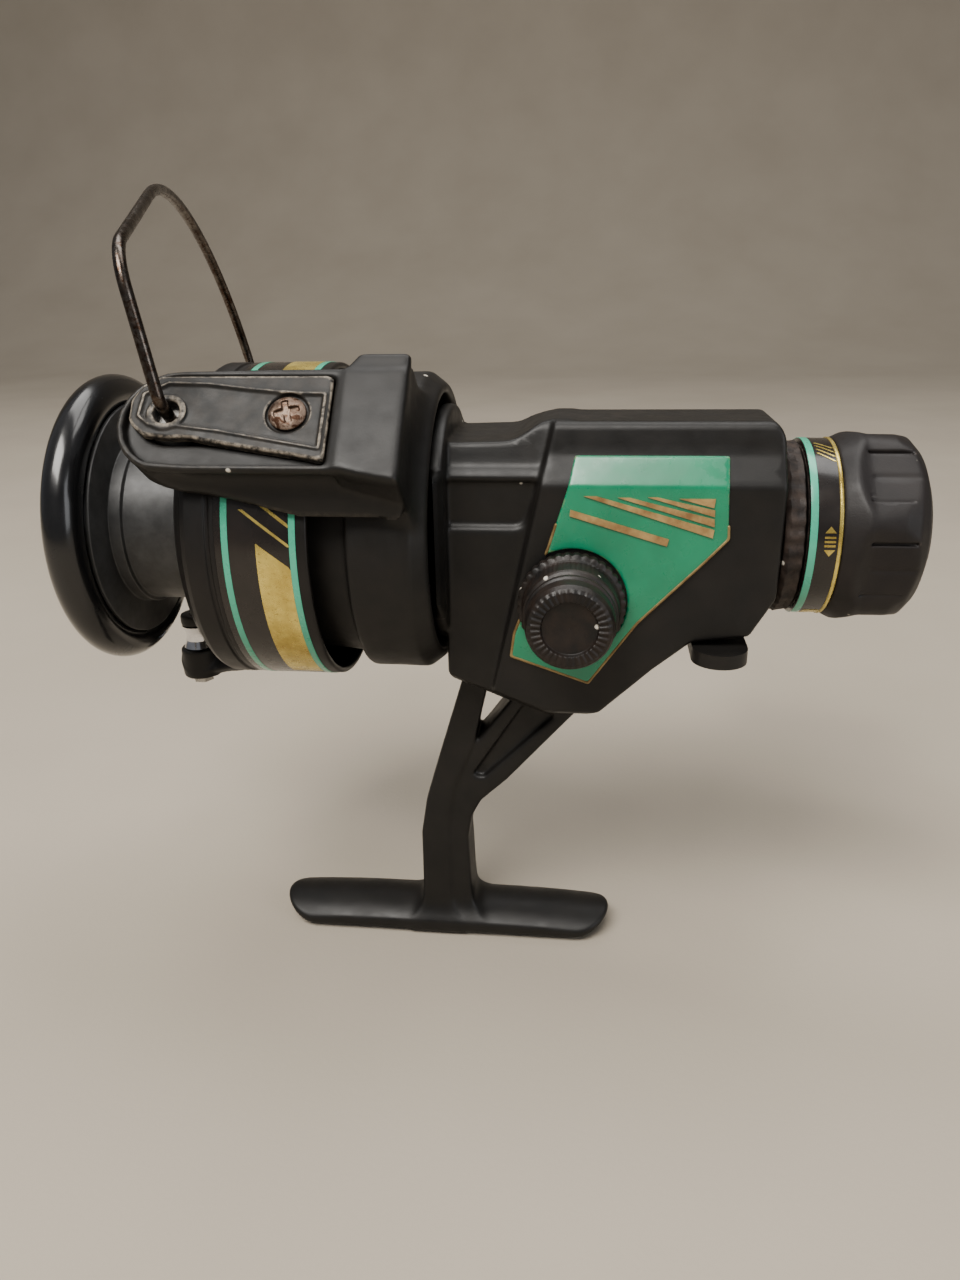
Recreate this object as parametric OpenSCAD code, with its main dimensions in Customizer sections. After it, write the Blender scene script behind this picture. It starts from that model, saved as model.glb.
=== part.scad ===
// Rear-drag spinning reel with a skirted spool.
// +X points along the rod towards the butt, +Z from the rod up to the reel.
// The origin lies on the rod's centre line, under the middle of the foot.

/* [Stance] */
// Height of the spool axis above the rod's centre line
axis_h = 93.6; // [92:0.1:96]
// Length of the foot along the rod
foot_len = 70.6; // [68:0.2:74]
// Width of the foot across the rod
foot_w = 14.4; // [14.2:0.1:15]
// Radius of the rod seat that the hollow of the foot fits
seat_r = 8.6; // [8.5:0.1:8.7]

/* [Gearbox] */
// Distance of the near side wall from the spool axis
near_y = 15.5; // [15:0.1:16]
// Distance of the joint between housing and side cover from the spool axis
cover_y = 12.5; // [12:0.1:13]
// Thickness of the side cover
cover_t = 3.5; // [3:0.1:4]
// Place of the handle axis behind the middle of the foot
drive_x = 26.4; // [26:0.1:27]
// Drop of the handle axis below the spool axis
drive_drop = 10; // [9.8:0.1:10.2]

/* [Spool] */
// Radius of the front lip of the spool
lip_r = 27; // [26:0.1:27.5]
// Radius of the drum that takes the line
drum_r = 15.2; // [14:0.1:16]
// Outer radius of the skirt
skirt_r = 28.9; // [28.6:0.1:29]
// Radius of the main shaft
shaft_r = 2.25; // [2:0.05:2.4]
// Stroke of the spool along its axis
stroke = 12; // [10:0.5:12]

/* [Rotor] */
// Angle of the near rotor arm above the horizontal
arm_angle = 42; // [40:1:44]
// Radius of the rotor's rear rim
rotor_r = 27.1; // [26.5:0.1:27.2]
// Distance of the outer face of the rotor arms from the axis
arm_top = 35.6; // [35.2:0.1:36]
// Place of the bail pivots along the axis
bail_x = -37.5; // [-38:0.1:-37]
// Thickness of the bail wire
wire_d = 2; // [1.8:0.1:2.2]

/* [Handle] */
// Radius of the handle's crank
crank_r = 50; // [46:1:54]
// Distance of the crank arm from the spool axis
crank_y = 40; // [39.5:0.5:41]

/* [Drag] */
// Greatest radius of the drag knob
drag_r = 17; // [16:0.1:18]
// Radius of the printed band in front of the drag knob
band_r = 15.5; // [15:0.1:15.6]

/* [Hidden] */

$fn = 64;
eps = 0.01;
run_gap = 0.05;          // radial clearance of a running fit
wire_r = wire_d / 2;
far_y = cover_y + cover_t;
bush_r = 3.6;            // radius of the drive gear's hollow axle

// ---------- frames ----------
// The spool axis: children are drawn with x along the axis and z up from it.
module on_axis() { translate([0, 0, axis_h]) children(); }
// The drive axis: children are drawn with x, z from the handle axis.
module on_drive() { translate([drive_x, 0, axis_h - drive_drop]) children(); }
// A rotor arm's own frame: z points out along the arm's radius.
module on_near_arm() { on_axis() rotate([90 - arm_angle, 0, 0]) children(); }
module on_far_arm() { on_axis() rotate([270 - arm_angle, 0, 0]) children(); }

// ---------- shape helpers ----------
// Cylinder or tube along +X from x0 to x1.
module rod_x(r, x0, x1) { translate([x0, 0, 0]) rotate([0, 90, 0]) cylinder(r = r, h = x1 - x0); }
module tube_x(r, bore, x0, x1) {
  difference() {
    rod_x(r, x0, x1);
    rod_x(bore, x0 - 1, x1 + 1);
  }
}
// Cylinder or tube along +Y from y0 to y1.
module rod_y(r, y0, y1) { translate([0, y1, 0]) rotate([90, 0, 0]) cylinder(r = r, h = y1 - y0); }
module tube_y(r, bore, y0, y1) {
  difference() {
    rod_y(r, y0, y1);
    rod_y(bore, y0 - 1, y1 + 1);
  }
}
// Plate with an outline in the x, z plane, between y0 and y1.
module plate_y(points, y0, y1) {
  translate([0, y1, 0]) rotate([90, 0, 0]) linear_extrude(y1 - y0) polygon(points);
}
// Bar with an outline in the y, z plane, between x0 and x1.
module bar_x(points, x0, x1) {
  translate([x0, 0, 0]) rotate([90, 0, 90]) linear_extrude(x1 - x0) polygon(points);
}
// Body of revolution about the spool axis from [x, radius] points.
module turned(points) { rotate([0, 90, 0]) rotate_extrude() polygon([for (p = points) [p[1], p[0]]]); }
// Solid with a rounded slot outline in x, y from xa to xb, between z0 and z1.
module slot_z(xa, xb, r, z0, z1) {
  translate([0, 0, z0]) linear_extrude(z1 - z0) union() {
    translate([xa, 0]) circle(r);
    translate([xb, 0]) circle(r);
    translate([xa, -r]) square([xb - xa, 2 * r]);
  }
}
// Spur gear along +Y with its axis on the origin.
module spur(teeth, mod, y0, y1) {
  rod_y(mod * (teeth / 2 - 0.9), y0, y1);
  for (i = [0:teeth - 1])
    rotate([0, i * 360 / teeth, 0])
      plate_y([[mod * (teeth / 2 - 1.3), -mod * 0.6], [mod * (teeth / 2 + 0.7), -mod * 0.3],
               [mod * (teeth / 2 + 0.7), mod * 0.3], [mod * (teeth / 2 - 1.3), mod * 0.6]], y0, y1);
}
// Compression spring along +Z: a round wire swept along a helix.
function coil_point(r, h, turns, t) = [r * cos(360 * turns * t), r * sin(360 * turns * t), h * t];
module coil(r, wr, h, turns) {
  steps = 12 * turns;
  sides = 6;
  points = [for (i = [0:steps], k = [0:sides - 1])
    let (t = i / steps, c = coil_point(r, h, turns, t), a = 360 * turns * t, b = 360 * k / sides)
    [c[0] + wr * cos(b) * cos(a), c[1] + wr * cos(b) * sin(a), c[2] + wr * sin(b)]];
  sides_faces = [for (i = [0:steps - 1], k = [0:sides - 1])
    let (n = (k + 1) % sides)
    [i * sides + k, (i + 1) * sides + k, (i + 1) * sides + n, i * sides + n]];
  caps = [[for (k = [0:sides - 1]) k], [for (k = [sides - 1:-1:0]) steps * sides + k]];
  polyhedron(points, concat(sides_faces, caps));
}
// Cross-head screw along -Z with its seat at z = 0.
module screw(shank_r, shank_l, head_r, head_h) {
  difference() {
    union() {
      translate([0, 0, -shank_l]) cylinder(r = shank_r, h = shank_l);
      cylinder(r = head_r, h = head_h);
    }
    for (a = [0, 90])
      rotate([0, 0, a])
        translate([-head_r * 0.6, -head_r * 0.14, head_h * 0.45])
          cube([head_r * 1.2, head_r * 0.28, head_h]);
  }
}

// ---------- housing ----------
case_outline = [[4, 16.4], [15, 17], [22, 20.9], [56, 20.9], [60.6, 14], [61, -9], [57, -16],
  [47.4, -17.2], [40.8, -22.7], [30.1, -32.9], [16, -32.5], [4, -27.5]];
cavity_outline = [[20, 10.5], [24, 14.5], [50, 14.5], [50, -12.6], [45.5, -14.4],
  [39, -19.8], [29, -29.6], [20, -29.5]];
neck_cavity_outline = [[9, 9.5], [20.1, 10.5], [20.1, -29.5], [17, -29.4], [9, -25]];
neck_x = 20;
neck_y = 13.6;           // near side of the neck, set back from the gear case
// The near side has a wide bevel that carries the badge, then the steep side of the hump.
case_section = [[-near_y, -34], [-near_y, 10.2], [-12.7, 14.9], [-11.8, 20.2], [-10.6, 21.2], [11, 21.2],
  [far_y, 15.2], [far_y, -34]];
gear_room_section = [[-15, -34], [-15, 5.4], [-10.6, 12.6], [-10.6, 15], [20, 15], [20, -34]];
neck_section = [[-neck_y, -34], [-neck_y, 11], [-8.5, 17.4], [9.5, 17.4], [14.6, 11], [14.6, -34]];
// Screws of the side cover: x, z and the near end of each screw post.
cover_bolts = [[13.5, 10.2, -11.2], [53.5, 15.5, -10.8], [49.5, -11.8, -13.5], [13.6, -26, -12]];
bearing_r = 9.5;
bearing_x = [3.4, 8.4];
disc_r = 21.5;
drag_tube = [12, 10.2];  // outer and inner radius of the drag housing
lever_at = [52, -2];     // pin of the anti-reverse lever
pawl_at = [42.5, 5];      // pivot of the anti-reverse pawl
post_r = 1.5;
osc_teeth = 28;          // oscillation gear
feed_teeth = 12;         // small gear on the drive axle
feed_mod = 0.7;
osc_line = 55;           // slope of the line from the handle axis to that gear
osc_far = feed_mod * (osc_teeth + feed_teeth) / 2;
osc_at = [osc_far * cos(osc_line), osc_far * sin(osc_line)];

module gear_case_solid() {
  intersection() {
    plate_y(case_outline, -near_y, far_y);
    union() {
      bar_x(case_section, neck_x, 61.2);
      bar_x(neck_section, 4, neck_x + eps);
    }
  }
}
stem_outline = [[7.2, -26], [-0.6, -50], [-2.6, -57], [-3.9, -65], [-4, -77], [-6.6, -82], [-11, -84.6],
  [12, -84.6], [8.4, -82], [6.3, -77], [5.8, -66], [7, -59], [14, -52], [30.4, -33.2], [41, -22],
  [30, -20]];
web_hole = [[11.2, -31.6], [15.9, -32.8], [7.4, -45]];

module foot() {
  intersection() {
    // saddle-shaped plate, thinner at its tips
    difference() {
      rod_x(seat_r + 2.1, -foot_len / 2, foot_len / 2);
      rod_x(seat_r, -foot_len, foot_len);
    }
    linear_extrude(20) union() {
      square([foot_len - foot_w, foot_w], center = true);
      for (s = [-1, 1]) translate([s * (foot_len - foot_w) / 2, 0]) circle(foot_w / 2);
    }
  }
}
// Everything of the housing that lies about the spool axis, before its bores.
module housing_blank() {
  difference() {
    union() {
      gear_case_solid();
      rod_x(disc_r, 2, 4.6);
      rod_x(12.6, 2, 9.4);
      rod_x(14.2, 56, 61.3);
      rod_x(drag_tube[0], 50, 70);
      difference() {
        plate_y(stem_outline, -5.6, 5.6);
        plate_y(web_hole, -7, 7);
        translate([0, 0, -axis_h]) rod_x(seat_r + 1, -foot_len, foot_len);
      }
    }
    plate_y([[9.4, 15], [18, 16.6], [24, 19], [56, 19], [59.4, 13], [59.8, -8], [56, -14.6],
             [46.6, -15.6], [40, -21.2], [29.5, -31.2], [17, -31], [9.4, -26.4]], cover_y, far_y + 1);
    intersection() {
      plate_y(cavity_outline, -near_y + 2.2, cover_y + 1);
      bar_x(gear_room_section, 19, 51);
    }
    plate_y(neck_cavity_outline, -neck_y + 2.2, cover_y + 1);
  }
  // screw posts of the side cover
  for (p = cover_bolts) translate([p[0], 0, p[1]]) rod_y(2.6, p[2], cover_y);
  // seat of the oscillation gear's post
  translate([drive_x + osc_at[0], 0, osc_at[1] - drive_drop]) rod_y(3, -near_y + 2, -8.6);
  // lugs of the guide rail
  translate([22.5, -4, 8.4]) cube([2, 8, 7.6]);
  translate([47.8, -4, 8.4]) cube([2.4, 8, 9]);
}
module housing() {
  color("#24211f") {
    on_axis() difference() {
      housing_blank();
      // bearing seat, pinion way and drag housing
      rod_x(bearing_r, bearing_x[0] - 0.01, bearing_x[1]);
      rod_x(6.4, 8, 12);
      rod_x(12.05, 1.9, bearing_x[0]);
      rod_x(shaft_r + 3, 49, 53);
      difference() {
        rod_x(drag_tube[1], 52, 71);
        // keys of the drag nut
        for (a = [0, 180]) rotate([a, 0, 0]) translate([64.5, -0.9, 9.4]) cube([6, 1.8, 2]);
      }
      // near bush seat, post seat, rail holes and screw holes
      translate([drive_x, 0, -drive_drop]) rod_y(bush_r + 1.6, -near_y - 1, -near_y + 3);
      translate([drive_x + osc_at[0], 0, osc_at[1] - drive_drop]) rod_y(post_r, -near_y + 2.2, -8);
      translate([0, 0, 11]) rod_x(1.2, 22, 50);
      for (p = cover_bolts) translate([p[0], 0, p[1]]) rod_y(1, cover_y - 11, cover_y + 1);
      for (a = [60, 180, 300]) rotate([a, 0, 0]) translate([0, 0, 10.8]) rod_x(0.7, 1, 8);
      // way of the anti-reverse lever's pin
      translate([lever_at[0], lever_at[1], -20]) cylinder(r = 2 + run_gap, h = 7.7);
    }
    foot();
  }
}
module side_cover() {
  color("#282523") on_axis() {
    difference() {
      intersection() {
        plate_y([[9.7, 14.7], [18, 16.3], [24, 18.7], [56, 18.7], [59.1, 13], [59.5, -8], [56, -14.3],
                 [46.5, -15.3], [39.9, -20.9], [29.4, -30.9], [17, -30.7], [9.7, -26.1]], cover_y + 0.02, far_y);
        union() {
          bar_x(case_section, neck_x, 61.2);
          bar_x(neck_section, 4, neck_x + eps);
        }
      }
      translate([drive_x, 0, -drive_drop]) rod_y(bush_r + 1.6, cover_y - 1, far_y + 4);
      for (p = cover_bolts) translate([p[0], 0, p[1]]) {
        rod_y(1.15, cover_y - 1, far_y + 1);
        rod_y(2.3, far_y - 1.5, far_y + 2);
      }
    }
    translate([drive_x, 0, -drive_drop]) tube_y(9.1, bush_r + 1.6, far_y - 0.5, far_y + 3);
    // pivot of the pawl
    translate([pawl_at[0], 0, pawl_at[1]]) rod_y(1.5, 8, cover_y + 0.1);
  }
}
module cover_screws() {
  color("#8b8680") on_axis()
    for (p = cover_bolts)
      translate([p[0], far_y - 1.5, p[1]]) rotate([-90, 0, 0]) screw(0.98, 9, 2.0, 1.2);
}
badge_outline = [[26.7, 16], [51.8, 16], [51.8, 9], [52.2, 1.6], [48.6, -2.4], [37.8, -13.6], [29.6, -25.2],
  [15.8, -20.4], [16.4, -16], [22.2, -0.5], [25.4, 10]];
// The badge follows the near side and the bevel above it.
badge_section = [[-near_y - 0.5, -30], [-near_y - 0.5, 10.34], [-13.13, 15.16], [-12.7, 14.9],
  [-near_y, 10.2], [-near_y, -30]];
badge_bars = [
  [[43.7, 8.4], [49.6, 8.4], [49.4, 6.9]],
  [[38.6, 8.6], [40.2, 8.6], [49.6, 6.5], [49.6, 5.4]],
  [[33.7, 8.5], [35.7, 8.5], [49.6, 5], [49.7, 3.7]],
  [[28.1, 8.7], [30.2, 8.7], [49.7, 3.2], [49.5, 1.8]],
  [[25.9, 6.4], [42.4, 1.5], [42.1, 0.3], [25.8, 5.3]]
];
module side_badge() {
  color("#00936c") on_axis() difference() {
    intersection() {
      plate_y(badge_outline, -near_y - 0.5, -9);
      bar_x(badge_section, 12, 56);
    }
    translate([drive_x, 0, -drive_drop]) rod_y(9.6, -near_y - 2, -near_y + 1);
  }
}
module badge_stripes() {
  color("#b08d4a") on_axis()
    for (bar = badge_bars) plate_y(bar, -near_y - 0.8, -near_y - 0.5);
}
module bearing_outer_race() {
  color("silver") on_axis() tube_x(bearing_r, 8.1, bearing_x[0], bearing_x[1]);
}
module bearing_balls() {
  color("gainsboro") on_axis()
    for (i = [0:7]) rotate([i * 45, 0, 0])
      translate([(bearing_x[0] + bearing_x[1]) / 2, 0, 7.25]) sphere(r = 0.8);
}
module bearing_inner_race() {
  color("silver") on_axis() tube_x(6.4, 5, bearing_x[0], bearing_x[1]);
}
module bearing_retainer() {
  color("#9a968f") on_axis() difference() {
    tube_x(12, 7.4, 2.1, 3.38);
    for (a = [60, 180, 300]) rotate([a, 0, 0]) translate([0, 0, 10.8]) rod_x(0.8, 1, 5);
  }
}
module retainer_screws() {
  color("#77726c") on_axis()
    for (a = [60, 180, 300]) rotate([a, 0, 0])
      translate([2.1, 0, 10.8]) rotate([0, -90, 0]) screw(0.68, 5, 1.1, 0.5);
}
module drive_bushes() {
  color("#b8863a") on_drive() {
    tube_y(bush_r + 1.6, bush_r + run_gap, -near_y, -near_y + 2.2);
    tube_y(bush_r + 1.6, bush_r + run_gap, cover_y, far_y + 2.9);
  }
}

// ---------- gear train ----------
drive_teeth = 50;
pinion_teeth = 10;
gear_r = 15.2;
module drive_gear() {
  color("#a9a6a0") on_drive() difference() {
    union() {
      rod_y(bush_r, -near_y - 0.4, far_y + 2.9);
      rod_y(4.4, -4.7, 7.6);
      rod_y(gear_r, 5.3, 7.6);
      // face teeth towards the pinion
      for (i = [0:drive_teeth - 1])
        rotate([0, i * 360 / drive_teeth, 0])
          translate([12, 4, -0.42]) cube([3.1, 1.4, 0.84]);
      // small gear that turns the oscillation gear
      spur(feed_teeth, feed_mod, -8.4, -4.6);
    }
    // square way for the handle shank
    translate([-1.8, -near_y - 2, -1.8]) cube([3.6, far_y + near_y + 8, 3.6]);
  }
}
module ratchet_wheel() {
  color("#8f8b85") on_drive() difference() {
    union() {
      rod_y(8, 8.2, 9.8);
      for (i = [0:11])
        rotate([0, i * 30, 0]) plate_y([[7.6, -1.6], [10, 0.9], [7.6, 1.6]], 8.2, 9.8);
    }
    rod_y(bush_r, 7, 11);
  }
}
module anti_reverse_pawl() {
  color("#8f8b85") on_axis() translate([pawl_at[0], 0, pawl_at[1]]) difference() {
    union() {
      rod_y(3, 8.3, 9.7);
      rotate([0, -10, 0]) translate([-14.5, 8.4, -1]) cube([13.5, 1.2, 2]);
    }
    rod_y(1.5 + run_gap, 7, 11);
  }
}
module anti_reverse_lever() {
  color("#1f1c1b") on_axis() translate([lever_at[0], lever_at[1], 0]) {
    translate([0, 0, -17.9]) cylinder(r = 2, h = 5.4);
    difference() {
      translate([0, 0, -20.4]) linear_extrude(2.5) union() {
        translate([-4.6, -13]) square([9.6, 13]);
        circle(4.8);
        translate([0.2, -13]) circle(4.8);
      }
      translate([0, -13.2, -21.4]) cylinder(r = 2.2, h = 1.5);
    }
  }
}
module oscillation_gear() {
  color("#c9a45a") on_drive() translate([osc_at[0], 0, osc_at[1]]) difference() {
    union() {
      // turned so that a gap faces the tooth of the small gear
      rotate([0, 180 / osc_teeth - 180 - osc_line, 0]) spur(osc_teeth, feed_mod, -8.2, -6.2);
      // pin that moves the crosswind block
      translate([-stroke / 2, 0, 0]) rod_y(1.2, -8, -4.4);
    }
    rod_y(post_r + run_gap, -9, -5);
  }
}
module oscillation_post() {
  color("silver") on_drive() translate([osc_at[0], 0, osc_at[1]]) {
    rod_y(post_r, -near_y + 2.2, -6);
    rod_y(2.4, -6, -5.4);
  }
}
module guide_rail() {
  color("silver") on_axis() translate([0, 0, 11]) rod_x(1.2, 22.5, 50);
}
block_x = [25.7, 31.1];
module crosswind_block() {
  color("#b8863a") on_axis() difference() {
    translate([block_x[0], -4.1, -5.2]) cube([block_x[1] - block_x[0], 7.7, 18.4]);
    rod_x(shaft_r + run_gap, 20, 60);
    translate([0, 0, 11]) rod_x(1.2 + run_gap, 20, 60);
    // groove for the oscillation gear's pin
    translate([(block_x[0] + block_x[1]) / 2 - 1.3, -5, -6]) cube([2.6, 2.4, 15]);
  }
}
module shaft_clips() {
  color("#5d5a56") on_axis() for (x = [block_x[0] - 0.9, block_x[1] + 0.1]) tube_x(3.6, shaft_r, x, x + 0.8);
}
module pinion_gear() {
  color("#c79c4b") on_axis() difference() {
    union() {
      rod_x(5, -14, 8.4);
      rod_x(5.6, 8.4, 9.2);
      rod_x(2.95, 9.2, 20);
      for (i = [0:pinion_teeth - 1])
        rotate([i * 360 / pinion_teeth, 0, 0])
          translate([9.2, -0.42, 2.6]) cube([10.8, 0.84, 1.25]);
      rod_x(3.6, -20, -14);
    }
    rod_x(shaft_r + run_gap, -21, 21);
  }
}

// ---------- rotor ----------
module arm_solid(tip) {
  difference() {
    union() {
      slot_z(tip, -8, 8.6, 29, arm_top);
      // block at the root of the arm
      translate([-9.6, -11, 24]) cube([10.8, 22, arm_top + 0.5 - 24]);
      translate([-14, -9.6, 29]) cube([8, 19.2, arm_top - 29]);
    }
    // way for the skirt of the spool
    translate([-60, 0, 0]) rotate([0, 90, 0]) cylinder(r = skirt_r + 0.55, h = 58.6);
    // bevelled rear of the block
    translate([1.2, -20, arm_top - 3]) rotate([0, -40, 0]) cube([10, 40, 12]);
  }
}
module rotor() {
  color("#211e1d") {
    on_axis() difference() {
      turned([[-14, 5], [-14, 19], [-26, 20.5], [-26, 23.2], [-10.2, 24.6], [-10.2, rotor_r], [-1.4, rotor_r], [1.2, 25.2],
              [1.2, 23.4], [-6, 23.4], [-7.4, 19], [-7.4, 13.4], [0.9, 13.4], [0.9, 5]]);
      rod_x(5, -20, 5);
    }
    difference() {
      union() {
        on_near_arm() arm_solid(bail_x + 0.5);
        on_far_arm() arm_solid(bail_x + 0.5);
        on_axis() difference() {
          union() {
            on_root() translate([-1.3, -11, 22.5]) cube([2.5, 22, 8]);
          }
          rod_x(22.5, -5, 5);
        }
      }
      on_axis() turned([[-12, 0], [-12, rotor_r - 0.6], [-1.5, rotor_r - 0.6], [-1.5, 23.4], [3, 23.4], [3, 0]]);
      // recess under the cover of the near arm
      on_near_arm() {
        slot_z(bail_x, -16, 4.6, 31.1, arm_top + 2);
        intersection() {
          slot_z(bail_x + 0.3, -8, 6.9, arm_top - 1.1, arm_top + 2);
          translate([-60, -10, 30]) cube([48.6, 20, 10]);
        }
      }
      // pivot hole of the far arm
      on_far_arm() translate([bail_x, 0, 28]) cylinder(r = 1.6, h = 10);
    }
    // post for the cover screw
    on_near_arm() translate([-18, 0, 30.2]) difference() {
      cylinder(r = 2.4, h = 4.2);
      translate([0, 0, 0.4]) cylinder(r = 1, h = 5);
    }
  }
}
// Both arm roots at once, drawn in the spool axis frame.
module on_root() { for (a = [90, 270]) rotate([a - arm_angle, 0, 0]) children(); }
module rotor_nut() {
  color("#8f8b85") on_axis() difference() {
    translate([-17.5, 0, 0]) rotate([0, 90, 0]) cylinder(r = 7, h = 3.5, $fn = 6);
    rod_x(3.6, -20, 0);
  }
}
module arm_cover() {
  color("#2b2725") on_near_arm() difference() {
    intersection() {
      slot_z(bail_x + 0.3, -8, 6.8, arm_top - 1.1, arm_top - 0.1);
      translate([-60, -10, 30]) cube([48.5, 20, 10]);
    }
    translate([bail_x, 0, 30]) cylinder(r = wire_r + run_gap, h = 10);
    translate([-18, 0, 30]) cylinder(r = 1.3, h = 10);
  }
}
module arm_cover_screw() {
  color("#7d6a5c") on_near_arm() translate([-18, 0, arm_top - 0.1]) screw(0.98, 4.3, 3.1, 1.1);
}

// ---------- bail ----------
bail_tilt = 15.1;        // lean of the wire's plane towards the front
shoulder = [51.6, 18.6]; // corner of the wire: across and out from the pivot line
arch_c = 27.9;           // centre of the top arch above the pivot line
arch_r = 39.5;
bend_r = 9;
// A point of the wire's plane in the near arm's frame.
function bail_pt(a, o) = [bail_x - o * sin(bail_tilt), o * cos(bail_tilt), a];
function unit(v) = v / norm(v);
// Distance from a rounded corner to where the bend begins.
function run_out(a, c, b, r) = r / tan(acos(unit(a - c) * unit(b - c)) / 2);
// Points along the bend at corner c of a wire that comes from a and goes on to b.
function bend_points(a, c, b, r, n) =
  let (u = unit(a - c), v = unit(b - c), half = acos(u * v) / 2, centre = c + unit(u + v) * r / sin(half),
       s = unit(c + u * run_out(a, c, b, r) - centre), e = unit(c + v * run_out(a, c, b, r) - centre),
       w = 180 - 2 * half)
  [for (k = [0:n]) centre + r * (s * sin(w - w * k / n) + e * sin(w * k / n)) / sin(w)];
// Round wire swept along a list of points; flat is never parallel to the wire.
wire_sides = 20;
module wire_along(p, flat) {
  last = len(p) - 1;
  points = [for (i = [0:last], k = [0:wire_sides - 1])
    let (t = unit(p[min(i + 1, last)] - p[max(i - 1, 0)]), a = unit(cross(t, flat)), b = cross(t, a),
         q = 360 * k / wire_sides)
    p[i] + wire_r * (a * cos(q) + b * sin(q))];
  skin = [for (i = [0:last - 1], k = [0:wire_sides - 1])
    let (n = (k + 1) % wire_sides)
    [(i + 1) * wire_sides + k, i * wire_sides + k, i * wire_sides + n, (i + 1) * wire_sides + n]];
  caps = [[for (k = [wire_sides - 1:-1:0]) k], [for (k = [0:wire_sides - 1]) last * wire_sides + k]];
  polyhedron(points, concat(skin, [caps[1], caps[0]]));
}
// The top arch starts where its circle meets the straight sides.
arch_d = [shoulder[0], shoulder[1] - arch_c];
arch_a = atan2(arch_d[1], arch_d[0]) + acos(arch_r / norm(arch_d));
// Corner above the arch: both sides run on to it, and the arch rounds it.
arch_top = arch_c + arch_r / sin(arch_a);
knob_at = [-56.8, 19.6, -36.6]; // wire end in the roller knob, from the spool axis
// The same point in the near arm's frame.
function to_arm(p) = [p[0], p[1] * cos(90 - arm_angle) + p[2] * sin(90 - arm_angle),
  -p[1] * sin(90 - arm_angle) + p[2] * cos(90 - arm_angle)];
wire_corners = [
  [bail_x, 0, 32.2],
  [bail_x, 0, 38.6],
  bail_pt(shoulder[0], shoulder[1]),
  bail_pt(0, arch_top),
  bail_pt(-shoulder[0], shoulder[1]),
  to_arm(knob_at + [0, 4.4, 1.6]),
  to_arm(knob_at)];
wire_bends = [2.4, bend_r, arch_r, bend_r, 5];
bend_steps = [8, 12, 40, 12, 8];
module bail_wire() {
  c = wire_corners;
  color("#4a4643") on_near_arm() wire_along(concat([c[0]],
    [for (i = [0:4]) each bend_points(c[i], c[i + 1], c[i + 2], wire_bends[i], bend_steps[i])], [c[6]]),
    [cos(bail_tilt), sin(bail_tilt), 0]);
}
module bail_cam() {
  color("#8f8b85") on_near_arm() difference() {
    union() {
      translate([bail_x, 0, 31.4]) cylinder(r = 4.1, h = 2.4);
      translate([bail_x, 2.6, 33.8]) cylinder(r = 0.6, h = 0.4);
    }
    translate([bail_x, 0, 32.2]) cylinder(r = wire_r, h = 5);
  }
}
module bail_spring() {
  color("#6f6b67") on_near_arm() translate([-32.2, 1.5, 32.9]) rotate([0, 90, 0]) coil(1.1, 0.22, 11, 9);
}
lever_z = arm_top + 0.35;
roller_x = -56.6;
roller_y = 17;
elbow = [-47.5, 12.5];   // where the lever bends towards the roller, in the far arm's frame
// Flat bar from a to b with half widths wa and wb.
function bar_outline(a, b, wa, wb) =
  let (n = unit([a[1] - b[1], b[0] - a[0]])) [a + n * wa, b + n * wb, b - n * wb, a - n * wa];
// Plate of the lever in the far arm's frame.
module lever_plate() {
  translate([0, 0, lever_z]) linear_extrude(2.6) union() {
    translate([bail_x, 0]) circle(6);
    translate(elbow) circle(4.8);
    translate([roller_x, 15.5]) circle(4.2);
    polygon(bar_outline([bail_x, 0], elbow, 5, 4.6));
    polygon(bar_outline(elbow, [roller_x, 15.5], 4.6, 4));
  }
  // web that carries the inner cheek past the spool lip
  translate([-54.4, 5, 28.6]) cube([4.2, 7, lever_z - 28]);
}
module roller_lever() {
  color("#201d1c") on_axis() difference() {
    union() {
      difference() {
        rotate([270 - arm_angle, 0, 0]) lever_plate();
        // way of the roller
        translate([roller_x, roller_y, -33.4]) cylinder(r = 3.9, h = 5.4);
      }
      // outer knob and inner cheek either side of the roller
      translate([roller_x, roller_y, -40]) cylinder(r = 4, h = 6.6);
      translate([roller_x, roller_y, -28]) cylinder(r = 3.3, h = 2.4);
      translate([roller_x, roller_y - 1.5, -27.9]) cube([6.2, 4.5, 2]);
    }
    translate([roller_x, roller_y, -42]) cylinder(r = 1.2, h = 30);
    // seat of the screw's head
    translate([roller_x, roller_y, -45]) cylinder(r = 2.6, h = 5);
    rotate([270 - arm_angle, 0, 0]) translate([bail_x, 0, 30]) cylinder(r = 2 + run_gap, h = 12);
  }
}
module lever_pivot_screw() {
  color("#7d7771") on_far_arm() {
    translate([bail_x, 0, 30.4]) cylinder(r = 1.58, h = lever_z - 30.4);
    translate([bail_x, 0, lever_z - 0.3]) cylinder(r = 2, h = 3);
    translate([bail_x, 0, lever_z + 2.7]) screw(1, 1, 3.2, 1.1);
  }
}
module roller_screw() {
  color("#8a857e") on_axis() translate([roller_x, roller_y, -40]) {
    cylinder(r = 1.15, h = 14.6);
    translate([0, 0, -1.4]) cylinder(r = 2.3, h = 1.4, $fn = 6);
  }
}
module line_roller() {
  color("#d9d9d9") on_axis() translate([roller_x, roller_y, 0]) rotate_extrude()
    polygon([[1.25, -33.2], [3.2, -33.2], [2.6, -31.6], [2.5, -30.6], [2.6, -29.8], [3.2, -28.2], [1.25, -28.2]]);
}

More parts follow.
